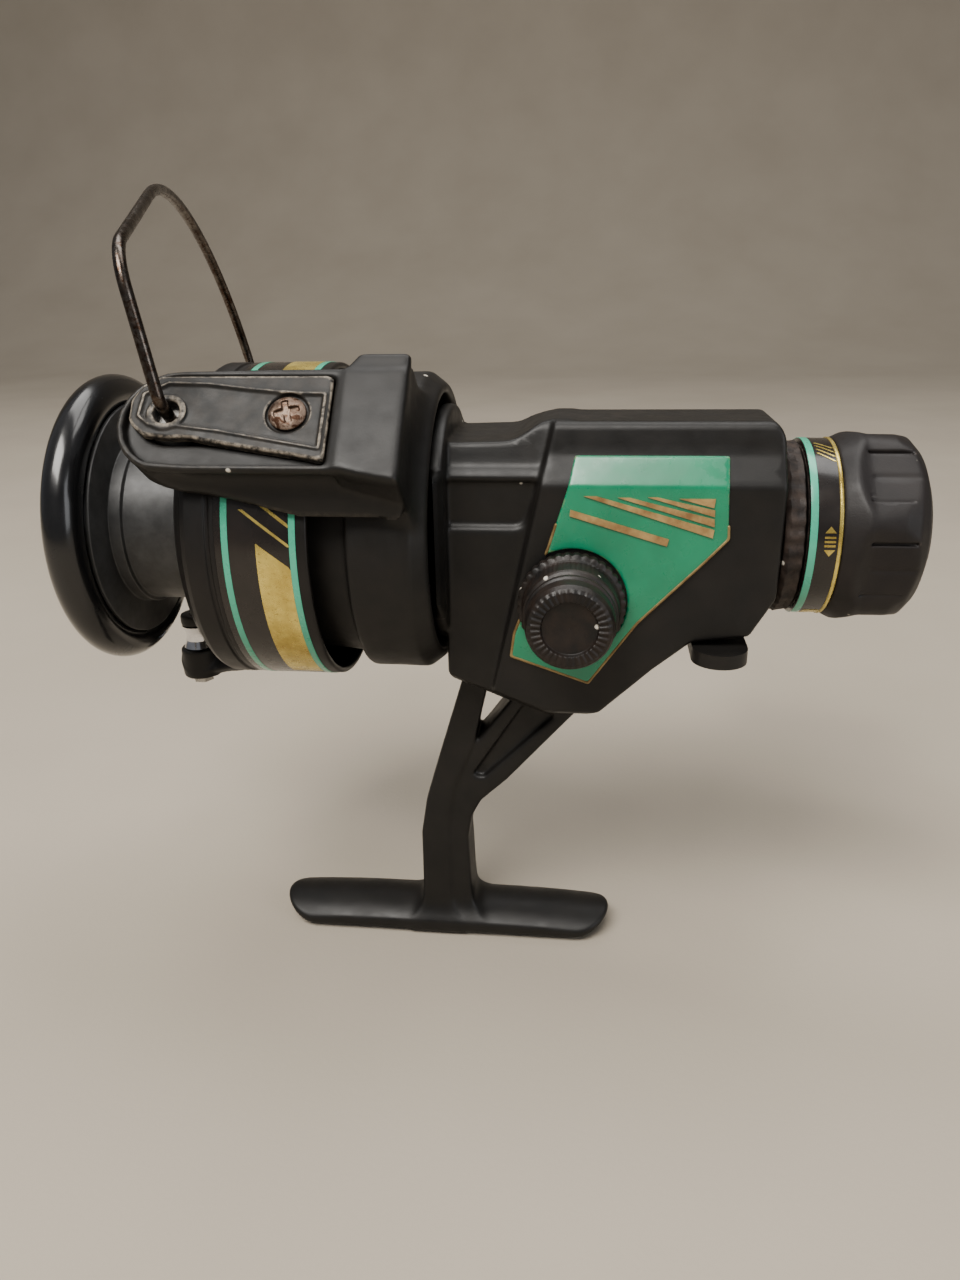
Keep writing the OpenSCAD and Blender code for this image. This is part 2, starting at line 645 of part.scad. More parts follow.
// ---------- shaft and drag ----------
stack_x = 52.05;         // where the drag stack starts
disc_t = 1;
felt_t = 0.8;
pitch_x = 2 * (disc_t + felt_t + 2 * run_gap);
module main_shaft() { color("silver") on_axis() rod_x(shaft_r, -59.2, 73); }
module drag_sleeve() {
  color("#b8863a") on_axis() tube_x(4.6, shaft_r + run_gap, 50.3, 63.4);
}
module keyed_washers() {
  color("#a5a29c") on_axis() for (i = [0:2])
    tube_x(9.4, 4.6, stack_x + felt_t + run_gap + i * pitch_x, stack_x + felt_t + run_gap + i * pitch_x + disc_t);
}
module eared_washers() {
  color("#8f8b85") on_axis() for (i = [0:2])
    tube_x(drag_tube[1], 5.2, stack_x + 2 * felt_t + disc_t + 3 * run_gap + i * pitch_x,
           stack_x + 2 * felt_t + 2 * disc_t + 3 * run_gap + i * pitch_x);
}
module friction_washers() {
  color("#5b4a3a") on_axis() for (i = [0:5])
    tube_x(9.2, 5.2, stack_x + i * pitch_x / 2, stack_x + i * pitch_x / 2 + felt_t);
}
nut_x = 66.6;
module drag_spring() {
  color("#9a968f") on_axis() translate([63.9, 0, 0]) rotate([0, 90, 0]) coil(7.6, 0.45, 2.1, 2);
}
module drag_nut() {
  color("#8f8b85") on_axis() difference() {
    tube_x(drag_tube[1] - run_gap, 6 + run_gap, nut_x, nut_x + 1.6);
    for (a = [0, 180]) rotate([a, 0, 0]) translate([nut_x - 1, -1, 9.2]) cube([4, 2, 3]);
  }
}
module drag_collar() {
  color("#3a332f") on_axis() tube_x(15.2, drag_tube[0], 61.5, 64.7);
}
knob_x = [70.6, 87];
shaft_room_x = 85.4;       // end of the room that the main shaft moves back into
module drag_knob() {
  color("#2a2522") on_axis() difference() {
    union() {
      turned([[knob_x[0], 0], [knob_x[0], band_r], [73, 16.4], [77, drag_r], [80.6, drag_r - 0.1],
              [83.2, 15.9], [85, 13.8], [86.2, 10.8], [knob_x[1], 7], [knob_x[1], 0]]);
      rod_x(14.6, 65.2, knob_x[0] + eps);
    }
    // finger scoops
    for (i = [0:5]) rotate([i * 60 + 30, 0, 0]) translate([0, 0, drag_r + 6.8]) rod_x(8.2, 72.5, 95);
    rod_x(drag_tube[0] + 0.1, 64, 70.6);
    rod_x(9.4, 70, 84.4);
    rod_x(3.4, 70, shaft_room_x);
  }
  // hollow screw that carries the drag nut
  color("#2a2522") on_axis() tube_x(6, 3.4, 64.8, 84.6);
}
module drag_band() { color("#171412") on_axis() tube_x(band_r, 14.6, 65.2, 70); }
module drag_ring() { color("#c9a437") on_axis() tube_x(band_r + 0.2, 14.6, 70, 70.6); }

// ---------- spool ----------
module spool() {
  color("#4a4a4c") on_axis() turned([[-63, 3.6], [-63, 7], [-62, 8.4], [-62, 13], [-58.6, 13], [-57.2, 20],
    [-57.2, 21.8], [-56.4, 21.8], [-56, drum_r], [-39.5, drum_r], [-39.5, 24.2], [-38.3, 24.2],
    [-38.3, 13.4], [-54, 13.4], [-54, 7], [-40, 7], [-40, shaft_r], [-59, shaft_r], [-59, 3.6]]);
}
module spool_lip() {
  color("#0c0c0d") on_axis() {
    turned([[-62, 13], [-58.6, 13], [-57.2, 20], [-57.2, lip_r - 3.6], [-63.2, lip_r - 3.6], [-63.2, 20.5],
            [-62, 16]]);
    rotate([0, 90, 0]) rotate_extrude() translate([lip_r - 3.4, -60.2]) circle(3.4);
  }
}
module spool_skirt() {
  color("#23201f") on_axis() turned([[-40.4, drum_r + 0.05], [-40.4, 23.6], [-39.2, 26], [-37.2, 28.4], [-36.3, skirt_r],
    [-31.4, skirt_r], [-31.4, skirt_r - 0.3], [-18.6, skirt_r - 0.3], [-18.6, skirt_r], [-16, skirt_r],
    [-16, 27.7], [-36.2, 27.7], [-38.3, 24.35], [-39.6, 24.35], [-39.6, drum_r + 0.05]]);
}
module skirt_band() {
  color("#171412") on_axis() tube_x(skirt_r, skirt_r - 0.3, -31.4, -18.6);
}
module spool_button() {
  color("#1d1a19") on_axis() rod_x(3.5, -65, -61.8);
}
module button_spring() {
  color("#9a968f") on_axis() translate([-61.6, 0, 0]) rotate([0, 90, 0]) coil(2.9, 0.15, 2.1, 4);
}

// ---------- handle ----------
module handle_shank() {
  color("#9b9892") on_drive() {
    translate([-1.75, -8, -1.75]) cube([3.5, far_y + 12, 3.5]);
    rod_y(4.6, far_y + 3.2, crank_y - 4.4);
    // clevis of the fold joint
    for (z = [-4.6, 2.6]) difference() {
      union() {
        translate([-4.4, crank_y - 4.5, z]) cube([8.8, 4.5, 2]);
        translate([0, crank_y, z]) cylinder(r = 4.4, h = 2);
      }
      translate([0, crank_y, z - 1]) cylinder(r = 1.5, h = 4);
    }
  }
}
module fold_pin() { color("silver") on_drive() translate([0, crank_y, -5]) cylinder(r = 1.5, h = 10); }
module handle_arm() {
  color("#232020") on_drive() difference() {
    union() {
      translate([0, crank_y, -2.3]) cylinder(r = 4, h = 4.6);
      translate([0, crank_y - 2.2, -2.3]) cube([10, 4.4, 4.6]);
      plate_y([[9, -4.2], [14, -4.8], [crank_r, -5.4], [crank_r, 5.4], [14, 4.8], [9, 4.2]], crank_y - 1.8,
              crank_y + 1.8);
      translate([crank_r, 0, 0]) rod_y(5.4, crank_y - 1.8, crank_y + 1.8);
    }
    translate([0, crank_y, -4]) cylinder(r = 1.5 + run_gap, h = 8);
    translate([crank_r, 0, 0]) rod_y(2, crank_y - 4, crank_y + 4);
  }
}
module knob_spindle() {
  color("silver") on_drive() translate([crank_r, 0, 0]) {
    rod_y(2, crank_y - 2.6, crank_y + 28);
    rod_y(3, crank_y - 3, crank_y - 1.8);
    rod_y(3, crank_y + 28, crank_y + 29);
  }
}
module handle_knob() {
  color("#262322") on_drive() translate([crank_r, 0, 0]) difference() {
    rotate([-90, 0, 0]) rotate_extrude() polygon([[2 + run_gap, crank_y + 2.4], [5, crank_y + 2.4],
      [6.2, crank_y + 6], [6.8, crank_y + 14], [9, crank_y + 24], [9.6, crank_y + 29], [8, crank_y + 32],
      [3.5, crank_y + 32], [3.5, crank_y + 27.6], [2 + run_gap, crank_y + 27.6]]);
  }
}
module knob_cap() {
  color("#3a3735") on_drive() translate([crank_r, 0, 0]) rod_y(3.5, crank_y + 29.6, crank_y + 32.6);
}
module handle_screw_cap() {
  color("#2c2826") on_drive() {
    difference() {
      rotate([90, 0, 0]) rotate_extrude() polygon([[0, near_y + 0.7], [9.1, near_y + 0.7], [9.1, near_y + 3.2],
        [8.2, near_y + 3.4], [8.2, near_y + 7.4], [7.4, near_y + 8.2], [7.4, near_y + 13.2],
        [6.4, near_y + 14.4], [0, near_y + 14.4]]);
      for (i = [0:23]) rotate([0, i * 15, 0]) translate([9.3, 0, 0]) rod_y(0.45, -near_y - 4, -near_y);
      rod_y(4.6, -near_y - 15, -near_y - 13.4);
    }
    rod_y(1.7, -near_y - 1, -8.1);
  }
}

housing();
side_cover();
cover_screws();
side_badge();
badge_stripes();
bearing_outer_race();
bearing_balls();
bearing_inner_race();
bearing_retainer();
retainer_screws();
drive_bushes();
drive_gear();
ratchet_wheel();
anti_reverse_pawl();
anti_reverse_lever();
oscillation_gear();
oscillation_post();
guide_rail();
crosswind_block();
shaft_clips();
pinion_gear();
rotor();
rotor_nut();
arm_cover();
arm_cover_screw();
bail_cam();
bail_spring();
bail_wire();
roller_lever();
lever_pivot_screw();
roller_screw();
line_roller();
main_shaft();
drag_sleeve();
keyed_washers();
eared_washers();
friction_washers();
drag_spring();
drag_nut();
drag_collar();
drag_knob();
drag_band();
drag_ring();
spool();
spool_lip();
spool_skirt();
skirt_band();
spool_button();
button_spring();
handle_shank();
handle_screw_cap();
fold_pin();
handle_arm();
knob_spindle();
handle_knob();
knob_cap();
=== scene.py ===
import math

import bpy
import numpy as np
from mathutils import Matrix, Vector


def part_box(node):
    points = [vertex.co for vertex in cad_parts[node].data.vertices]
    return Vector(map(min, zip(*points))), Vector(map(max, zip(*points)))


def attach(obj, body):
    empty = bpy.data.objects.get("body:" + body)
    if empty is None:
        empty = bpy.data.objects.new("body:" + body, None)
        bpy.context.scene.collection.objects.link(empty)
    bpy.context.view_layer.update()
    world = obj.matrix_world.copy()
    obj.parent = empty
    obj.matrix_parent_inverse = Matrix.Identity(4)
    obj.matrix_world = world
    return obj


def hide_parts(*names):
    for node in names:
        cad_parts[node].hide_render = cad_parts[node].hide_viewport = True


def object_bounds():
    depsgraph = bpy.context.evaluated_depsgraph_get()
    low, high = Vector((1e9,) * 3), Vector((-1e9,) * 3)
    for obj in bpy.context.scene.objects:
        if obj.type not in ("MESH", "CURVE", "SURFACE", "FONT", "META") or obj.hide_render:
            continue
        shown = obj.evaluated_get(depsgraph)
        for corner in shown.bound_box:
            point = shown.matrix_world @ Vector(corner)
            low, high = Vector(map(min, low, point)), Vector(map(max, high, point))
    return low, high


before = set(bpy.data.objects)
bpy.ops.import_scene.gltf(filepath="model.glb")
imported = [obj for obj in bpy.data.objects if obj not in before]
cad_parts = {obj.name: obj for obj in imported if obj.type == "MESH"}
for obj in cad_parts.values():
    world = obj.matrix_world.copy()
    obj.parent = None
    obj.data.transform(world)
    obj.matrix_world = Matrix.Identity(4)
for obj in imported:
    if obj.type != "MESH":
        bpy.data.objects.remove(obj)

import openvdb
from mathutils import Matrix, Vector

CAD_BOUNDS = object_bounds()
MM = 0.001


def box_mm(node):
    """Lowest and highest corner of a node of the frame, in millimetres of the row frame."""
    low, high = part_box(node)
    return np.array(low) / MM, np.array(high) / MM


def middle(node):
    """Centre of a node's box, in the axis frame."""
    low, high = box_mm(node)
    return (low + high) / 2 - np.array([0, 0, AXIS_Z])


AXIS_Z = float(sum(box_mm("main_shaft"))[2]) / 2   # spool axis, above the frame's origin
SEAT = -AXIS_Z                                     # rod centre line, seen from the spool axis
DRIVE_X, _, DRIVE_Z = (float(v) for v in middle("handle_screw_cap"))
BAIL_X = float(middle("lever_pivot_screw")[0])     # hinge of the bail
ARM_ANGLE = math.radians(42)                       # near rotor arm above the horizontal
ARM_TOP = 35.6                                     # outer face of a rotor arm, from the spool axis
SKIRT_R = 28.9                                     # outside of the spool's skirt

# ---- distance fields


class Space:
    """Sampling grid over a box, in the axis frame."""

    def __init__(self, low, high, step):
        self.low, self.step = np.array(low, np.float32), step
        lines = [np.arange(a, b + step, step, dtype=np.float32) for a, b in zip(low, high)]
        self.x, self.y, self.z = np.ix_(*lines)
        self.radius = np.hypot(self.y, self.z)

    def side(self, points):
        """Distance from an outline on x and z."""
        return outline(self.x, self.z, points)

    def end(self, points):
        """Distance from an outline on y and z."""
        return outline(self.y, self.z, points)

    def turned(self, profile):
        """Distance from an outline of x and radius, turned about the spool axis."""
        return swept(self.x, self.radius, profile)

    def from_drive(self):
        """Radius from the axis of the drive axle."""
        return np.hypot(self.x - DRIVE_X, self.z - DRIVE_Z)


def outline(u, v, points):
    """Signed distance from a closed outline in the u, v plane."""
    best = np.full(np.broadcast(u, v).shape, 1e9, np.float32)
    inside = np.zeros(best.shape, bool)
    for (u0, v0), (u1, v1) in zip(points, points[1:] + points[:1]):
        du, dv = u1 - u0, v1 - v0
        t = np.clip(((u - u0) * du + (v - v0) * dv) / (du * du + dv * dv), 0, 1)
        best = np.minimum(best, (u - u0 - t * du) ** 2 + (v - v0 - t * dv) ** 2)
        if dv != 0:
            inside ^= ((v0 <= v) != (v1 <= v)) & (u0 + du * (v - v0) / dv > u)
    return np.where(inside, -1, 1) * np.sqrt(best)


def swept(along, across, points, step=0.12):
    """Distance from an outline whose second coordinate is itself a field, such as a radius."""
    low = float(across.min())
    line = np.arange(low, float(across.max()) + 2 * step, step, dtype=np.float32)
    table = outline(along.reshape(-1, 1), line[None, :], points)
    place = (across - low) / step
    index = place.astype(np.int32)
    share = (place - index).astype(np.float32)
    flat = index.reshape(-1)
    found = table[:, flat] * (1 - share.reshape(-1)) + table[:, flat + 1] * share.reshape(-1)
    return found.reshape((len(table),) + index.shape[1:]).astype(np.float32)


def slab(w, low, high):
    return np.maximum(low - w, w - high)


def both(*fields):
    found = fields[0]
    for f in fields[1:]:
        found = np.maximum(found, f)
    return found


def join(a, b, blend=0.0):
    """Union with a fillet of about that size."""
    if blend <= 0:
        return np.minimum(a, b)
    h = np.clip(blend - np.abs(a - b), 0, None) / blend
    return np.minimum(a, b) - h * h * blend / 4


def cut(a, b, blend=0.0):
    """a without b."""
    return -join(-a, b, blend)


def soften(field, passes):
    """Rounds every edge of a field by smoothing it along each direction."""
    for _ in range(passes):
        for axis in range(3):
            f = np.moveaxis(field, axis, 0)
            g = f.copy()
            g[1:-1] += 0.25 * (f[:-2] + f[2:] - 2 * f[1:-1])
            field = np.moveaxis(g, 0, axis)
    return field


def sample(field, p):
    """Field values at places given in grid steps."""
    top = np.array(field.shape) - 2
    base = np.clip(np.floor(p).astype(np.int64), 0, top)
    t = np.clip(p - base, 0, 1)
    value = 0
    for corner in np.ndindex(2, 2, 2):
        weight = np.prod(np.where(corner, t, 1 - t), axis=1)
        i = base + corner
        value = value + weight * field[i[:, 0], i[:, 1], i[:, 2]]
    return value


def skin_of(space, field, adaptivity=0.004, wear_reach=0.8):
    """Surface of a field: points, faces, normals and how sharply each point sticks out."""
    grid = openvdb.FloatGrid(3.0)
    field = np.ascontiguousarray(field)
    scaled = np.clip(field / space.step, -3, 3).astype(np.float32)
    grid.copyFromArray(scaled)
    points, triangles, quads = grid.convertToPolygons(isovalue=0, adaptivity=adaptivity)
    points = points.astype(np.float64)
    axes = np.eye(3)
    slope = np.stack([sample(field, points + e) - sample(field, points - e) for e in axes], 1)
    slope /= np.linalg.norm(slope, axis=1, keepdims=True) + 1e-9
    reach = max(1.0, wear_reach / space.step)
    bend = sum(sample(field, points + way * reach * e) for e in axes for way in (-1, 1))
    bend = (bend - 6 * sample(field, points)) / (reach * space.step)
    faces = triangles.tolist() + quads.tolist()
    known = triangles if len(triangles) else quads
    a, b, c = (points[known[:, k]] for k in range(3))
    facing = np.einsum("ij,ij->i", np.cross(b - a, c - a), slope[known[:, 0]])
    if np.median(facing) < 0:
        faces = [f[::-1] for f in faces]
    return space.low + points * space.step, faces, slope, np.clip(bend, -2, 2)


# ---- meshes


def add_object(name, data):
    made = bpy.data.objects.new(name, data)
    bpy.context.scene.collection.objects.link(made)
    return made


def add_piece(name, points, faces, material, body, stands_for=(), normals=None, wear=None, crease=38):
    """Mesh object from points in the axis frame, riding on its body."""
    mesh = bpy.data.meshes.new(name)
    placed = (np.asarray(points, float) + [0, 0, AXIS_Z]) * MM
    mesh.from_pydata(placed.tolist(), [], faces)
    mesh.polygons.foreach_set("use_smooth", [True] * len(mesh.polygons))
    if normals is None:
        mesh.set_sharp_from_angle(angle=math.radians(crease))
    else:
        mesh.normals_split_custom_set_from_vertices(np.asarray(normals, float).tolist())
    if wear is not None:
        layer = mesh.attributes.new("wear", "FLOAT", "POINT")
        layer.data.foreach_set("value", np.asarray(wear, np.float32))
    mesh.materials.append(material)
    made = add_object(name, mesh)
    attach(made, body)
    if stands_for:
        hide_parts(*stands_for)
    return made


def add_moulding(name, space, field, material, body, stands_for=(), adaptivity=0.004):
    points, faces, normals, wear = skin_of(space, field, adaptivity)
    return add_piece(name, points, faces, material, body, stands_for, normals, wear)


def rounded(points, radius, steps=4):
    """A closed outline with every corner turned into an arc of at most that radius."""
    made = []
    count = len(points)
    for i, corner in enumerate(points):
        corner = np.array(corner, float)
        before, after = np.array(points[i - 1], float), np.array(points[(i + 1) % count], float)
        a, b = before - corner, after - corner
        la, lb = np.linalg.norm(a), np.linalg.norm(b)
        a, b = a / la, b / lb
        half = math.acos(max(-1.0, min(1.0, float(a @ b)))) / 2
        if half > math.radians(86) or half < math.radians(3):
            made.append(tuple(corner))
            continue
        run = min(radius / math.tan(half), 0.45 * la, 0.45 * lb)
        r = run * math.tan(half)
        centre = corner + (a + b) / np.linalg.norm(a + b) * r / math.sin(half)
        s, e = corner + a * run - centre, corner + b * run - centre
        turn = math.pi - 2 * half
        for k in range(steps + 1):
            t = k / steps
            w = (s * math.sin(turn - turn * t) + e * math.sin(turn * t)) / math.sin(turn)
            made.append(tuple(centre + w))
    return made


def lathed(profile, place, segments=144, shape=None):
    """Points and faces of a closed profile of (along, radius) turned about an axis.

    place(along, radius, angle) gives the point, and shape(along, radius, angle) is added to the radius."""
    angles = np.arange(segments) * 2 * math.pi / segments
    points, faces = [], []
    n = len(profile)
    for i, (along, radius) in enumerate(profile):
        for angle in angles:
            r = radius + (shape(along, radius, angle) if shape else 0)
            points.append(place(along, max(r, 1e-3), angle))
    for i in range(n):
        j = (i + 1) % n
        if profile[i][1] <= 1e-3 and profile[j][1] <= 1e-3:
            continue
        for k in range(segments):
            m = (k + 1) % segments
            faces.append((i * segments + k, j * segments + k, j * segments + m, i * segments + m))
    return points, faces


def about_shaft(along, radius, angle):
    return (along, -radius * math.cos(angle), radius * math.sin(angle))


def about_drive(along, radius, angle):
    return (DRIVE_X + radius * math.cos(angle), along, DRIVE_Z + radius * math.sin(angle))


def oriented(points, faces):
    """Faces turned so that the closed surface points outwards."""
    p = np.asarray(points, float)
    volume = 0.0
    for f in faces:
        a = p[f[0]]
        for k in range(1, len(f) - 1):
            volume += a @ np.cross(p[f[k]], p[f[k + 1]])
    return faces if volume > 0 else [tuple(reversed(f)) for f in faces]


def merge(points, faces, part):
    """Adds the points and faces of one closed part to the lists."""
    first = len(points)
    points.extend(part[0])
    faces.extend([tuple(i + first for i in f) for f in oriented(*part)])


def add_turned(name, profile, material, body, stands_for=(), place=about_shaft, segments=144,
               shape=None, edge=0.25, crease=38):
    points, faces = lathed(rounded(profile, edge), place, segments, shape)
    return add_piece(name, points, oriented(points, faces), material, body, stands_for, crease=crease)


def unit(v):
    v = np.asarray(v, float)
    return v / np.linalg.norm(v)


def tube_along(line, radius, sides=20):
    """Round tube along a line of points, with domed ends."""
    line = [np.array(p, float) for p in line]
    tangent = [unit(line[min(i + 1, len(line) - 1)] - line[max(i - 1, 0)]) for i in range(len(line))]
    side = unit(np.cross(tangent[0], [0.31, 0.62, 0.72]))
    points, faces = [], []
    for p, t in zip(line, tangent):
        side = unit(side - t * (side @ t))
        other = np.cross(t, side)
        for k in range(sides):
            a = 2 * math.pi * k / sides
            points.append(p + radius * (side * math.cos(a) + other * math.sin(a)))
    for i in range(len(line) - 1):
        for k in range(sides):
            m = (k + 1) % sides
            faces.append((i * sides + k, i * sides + m, (i + 1) * sides + m, (i + 1) * sides + k))
    last = (len(line) - 1) * sides
    points += [line[0] - tangent[0] * radius * 0.4, line[-1] + tangent[-1] * radius * 0.4]
    for k in range(sides):
        m = (k + 1) % sides
        faces.append((m, k, len(points) - 2))
        faces.append((last + k, last + m, len(points) - 1))
    return points, faces


# ---- arm frames


def arm_axes(far=False):
    """Across and outward directions of a rotor arm, in the axis frame."""
    turn = math.pi if far else 0.0
    a = ARM_ANGLE + turn
    return np.array([0, math.sin(a), math.cos(a)]), np.array([0, -math.cos(a), math.sin(a)])


def from_arm(x, across, out, far=False):
    n, u = arm_axes(far)
    return np.array([x, 0, 0]) + across * n + out * u


def arm_fields(space, far=False):
    """Across and outward coordinates of a rotor arm over a grid."""
    n, u = arm_axes(far)
    return [(space.y * way[1] + space.z * way[2]).astype(np.float32) for way in (n, u)]


# ---- materials


class Shader:
    """Node material under construction, with object coordinates in metres."""

    def __init__(self, name, roughness=0.5, metallic=0.0, **sockets):
        self.material = bpy.data.materials.new(name)
        self.material.use_nodes = True
        self.tree = self.material.node_tree
        self.bsdf = self.tree.nodes["Principled BSDF"]
        self.bsdf.inputs["Metallic"].default_value = metallic
        self.bsdf.inputs["Roughness"].default_value = roughness
        for key, value in sockets.items():
            self.bsdf.inputs[key.replace("_", " ")].default_value = value
        self.place = self.tree.nodes.new("ShaderNodeTexCoord").outputs["Object"]
        self.height = None

    def feed(self, socket, value):
        """Sets an input to a value, or links another node's output to it."""
        if isinstance(value, bpy.types.NodeSocket):
            self.tree.links.new(value, socket)
        else:
            socket.default_value = value

    def node(self, kind, **inputs):
        made = self.tree.nodes.new("ShaderNode" + kind)
        for key, value in inputs.items():
            self.feed(made.inputs[key.replace("_", " ")], value)
        return made

    def noise(self, scale, detail=3.0, rough=0.55, stretch=None, distortion=0.0):
        place = self.place
        if stretch:
            place = self.node("Mapping", Vector=place, Scale=stretch).outputs["Vector"]
        return self.node("TexNoise", Vector=place, Scale=scale, Detail=detail, Roughness=rough,
                         Distortion=distortion).outputs["Fac"]

    def ramp(self, value, low, high, to_low=0.0, to_high=1.0):
        return self.node("MapRange", Value=value, From_Min=low, From_Max=high, To_Min=to_low,
                         To_Max=to_high).outputs["Result"]

    def math(self, how, a, b):
        made = self.node("Math")
        made.operation = how
        for socket, value in zip(made.inputs, (a, b)):
            self.feed(socket, value)
        return made.outputs[0]

    def wear(self):
        made = self.node("Attribute")
        made.attribute_name = "wear"
        return made.outputs["Fac"]

    def specks(self, scale, size, share):
        """Scattered small dots: dust, chips and pits."""
        cells = self.node("TexVoronoi", Vector=self.place, Scale=scale)
        dot = self.ramp(cells.outputs["Distance"], size, size * 0.6)
        pick = self.node("SeparateColor", Color=cells.outputs["Color"])
        return self.math("MULTIPLY", dot, self.math("LESS_THAN", pick.outputs[0], share))

    def mix(self, share, a, b):
        made = self.node("Mix")
        made.data_type = "RGBA"
        for key, value in (("Factor", share), ("A", a), ("B", b)):
            self.feed(made.inputs[key], (*value, 1) if isinstance(value, tuple) else value)
        return made.outputs["Result"]

    def colour(self, source):
        self.feed(self.bsdf.inputs["Base Color"], source)

    def rough(self, source):
        self.feed(self.bsdf.inputs["Roughness"], source)

    def bump(self, source, depth):
        """Adds relief, depth in millimetres."""
        below = {"Normal": self.height} if self.height is not None else {}
        made = self.node("Bump", Strength=1.0, Distance=depth * MM, Height=source, **below)
        self.height = made.outputs["Normal"]
        self.feed(self.bsdf.inputs["Normal"], self.height)


def srgb(r, g, b):
    """Linear colour from 0 to 255 display values."""
    return tuple(((c / 255 + 0.055) / 1.055) ** 2.4 if c > 10 else c / 255 / 12.92 for c in (r, g, b))


def plastic(name, dark, light, rough=(0.38, 0.52), grain=0.012, worn=(112, 104, 94), wear_from=0.5,
            specks=0.0, blotch=120, **sockets):
    """Moulded plastic: faint blotches, fine grain, rubbed edges and a little dust."""
    s = Shader(name, **{"Specular_IOR_Level": 0.3, **sockets})
    base = s.mix(s.ramp(s.noise(blotch, 4), 0.35, 0.68), srgb(*dark), srgb(*light))
    patches = s.ramp(s.noise(900, 5, 0.7), 0.38, 0.62)
    rub = s.math("MULTIPLY", s.ramp(s.wear(), wear_from, wear_from + 0.5), patches)
    base = s.mix(rub, base, srgb(*worn))
    if specks:
        base = s.mix(s.specks(230, 0.11, specks), base, srgb(196, 190, 178))
    s.colour(base)
    s.rough(s.ramp(s.noise(260, 4), 0.3, 0.7, rough[0], rough[1]))
    s.bump(s.noise(3200, 2, 0.6), grain)
    s.bump(s.noise(420, 3), 0.02)
    return s.material


def metal(name, tone, shade, rough=(0.22, 0.36), brushed=None, pits=0.0, metallic=1.0, rust=None,
          grain=0.006):
    """Metal with slight tarnish, a brushed grain and optional pitting."""
    s = Shader(name, metallic=metallic)
    base = s.mix(s.ramp(s.noise(300, 5, 0.65), 0.36, 0.66), srgb(*tone), srgb(*shade))
    if rust:
        base = s.mix(s.ramp(s.noise(700, 6, 0.72, distortion=1.2), 0.47, 0.6), base, srgb(*rust))
    s.colour(base)
    s.rough(s.ramp(s.noise(500, 4), 0.3, 0.7, rough[0], rough[1]))
    s.bump(s.noise(2600, 3, 0.6, stretch=brushed), grain)
    if pits:
        s.bump(s.noise(1100, 5, 0.75), pits)
    return s.material


def foil():
    """Printed gold foil with a faint brown haze."""
    s = Shader("gold_foil", roughness=0.28, metallic=0.75)
    base = s.mix(s.ramp(s.noise(150, 4, 0.6), 0.4, 0.68), srgb(226, 204, 112), srgb(176, 150, 72))
    s.colour(s.mix(s.ramp(s.noise(1500, 5, 0.7), 0.6, 0.72), base, srgb(120, 92, 48)))
    s.rough(s.ramp(s.noise(400, 4), 0.3, 0.7, 0.2, 0.38))
    s.bump(s.noise(900, 2), 0.008)
    return s.material


def enamel(name, tone, shade, rough=0.3, **sockets):
    """Printed or lacquered colour under a clear coat."""
    s = Shader(name, roughness=rough, **{"Coat_Weight": 0.5, "Coat_Roughness": 0.12, **sockets})
    base = s.mix(s.ramp(s.noise(140, 4), 0.35, 0.7), srgb(*tone), srgb(*shade))
    rub = s.math("MULTIPLY", s.ramp(s.wear(), 1.5, 2.0), s.ramp(s.noise(800, 5, 0.7), 0.46, 0.6))
    s.colour(s.mix(rub, base, srgb(126, 140, 96)))
    s.rough(s.ramp(s.noise(300, 4), 0.3, 0.7, rough - 0.08, rough + 0.1))
    s.bump(s.noise(380, 3), 0.015)
    return s.material


BODY = plastic("graphite_body", (16, 15, 14), (24, 22, 20), worn=(70, 64, 57), wear_from=1.15, specks=0.02)
ROTOR = plastic("graphite_rotor", (16, 15, 14), (23, 21, 19), rough=(0.4, 0.54), worn=(72, 66, 58),
                wear_from=1.1, specks=0.04)
WORN = plastic("worn_cover", (20, 20, 19), (38, 34, 30), rough=(0.4, 0.62), grain=0.03, worn=(142, 132, 118),
               wear_from=0.7, specks=0.16, blotch=420)
CAP = plastic("worn_cap", (17, 15, 14), (34, 26, 21), rough=(0.32, 0.55), grain=0.03, worn=(150, 128, 110),
              wear_from=0.3, specks=0.2, blotch=350)
KNOB = plastic("knob_rubber", (21, 18, 18), (31, 27, 26), rough=(0.42, 0.58), grain=0.02, worn=(84, 74, 68),
               wear_from=0.9, specks=0.05)
SKIRT = plastic("skirt_plastic", (16, 15, 14), (24, 21, 20), rough=(0.34, 0.46), wear_from=2, specks=0.03)
RING = plastic("rough_ring", (24, 18, 16), (52, 42, 36), rough=(0.5, 0.8), grain=0.08, worn=(126, 110, 94),
               wear_from=0.3, specks=0.2, blotch=500)
GLOSS = plastic("gloss_black", (12, 12, 13), (19, 19, 20), rough=(0.2, 0.28), grain=0.003, wear_from=2,
                Coat_Weight=0.5, Coat_Roughness=0.14)
BAND = plastic("band_black", (20, 17, 16), (31, 26, 23), rough=(0.22, 0.34), grain=0.003, wear_from=2,
               Coat_Weight=0.4, Coat_Roughness=0.15)
DRUM = metal("drum_metal", (60, 60, 60), (46, 46, 46), rough=(0.4, 0.5), brushed=(1, 6, 6), metallic=0.35)
GREEN = enamel("green_badge", (0, 126, 88), (0, 110, 76), Coat_Weight=0.25)
BAR_GOLD = metal("bar_gold", (190, 160, 104), (140, 104, 66), rough=(0.3, 0.5), metallic=0.5)
GREEN_LINE = enamel("green_line", (62, 170, 138), (48, 156, 124))
GOLD = foil()
DULL_GOLD = metal("dull_gold", (150, 128, 84), (112, 88, 54), rough=(0.38, 0.6), pits=0.03, metallic=0.55)
WIRE = metal("dark_nickel", (104, 98, 92), (58, 50, 45), rough=(0.2, 0.38), rust=(60, 44, 34))
STEEL = metal("steel", (176, 174, 170), (142, 140, 136))
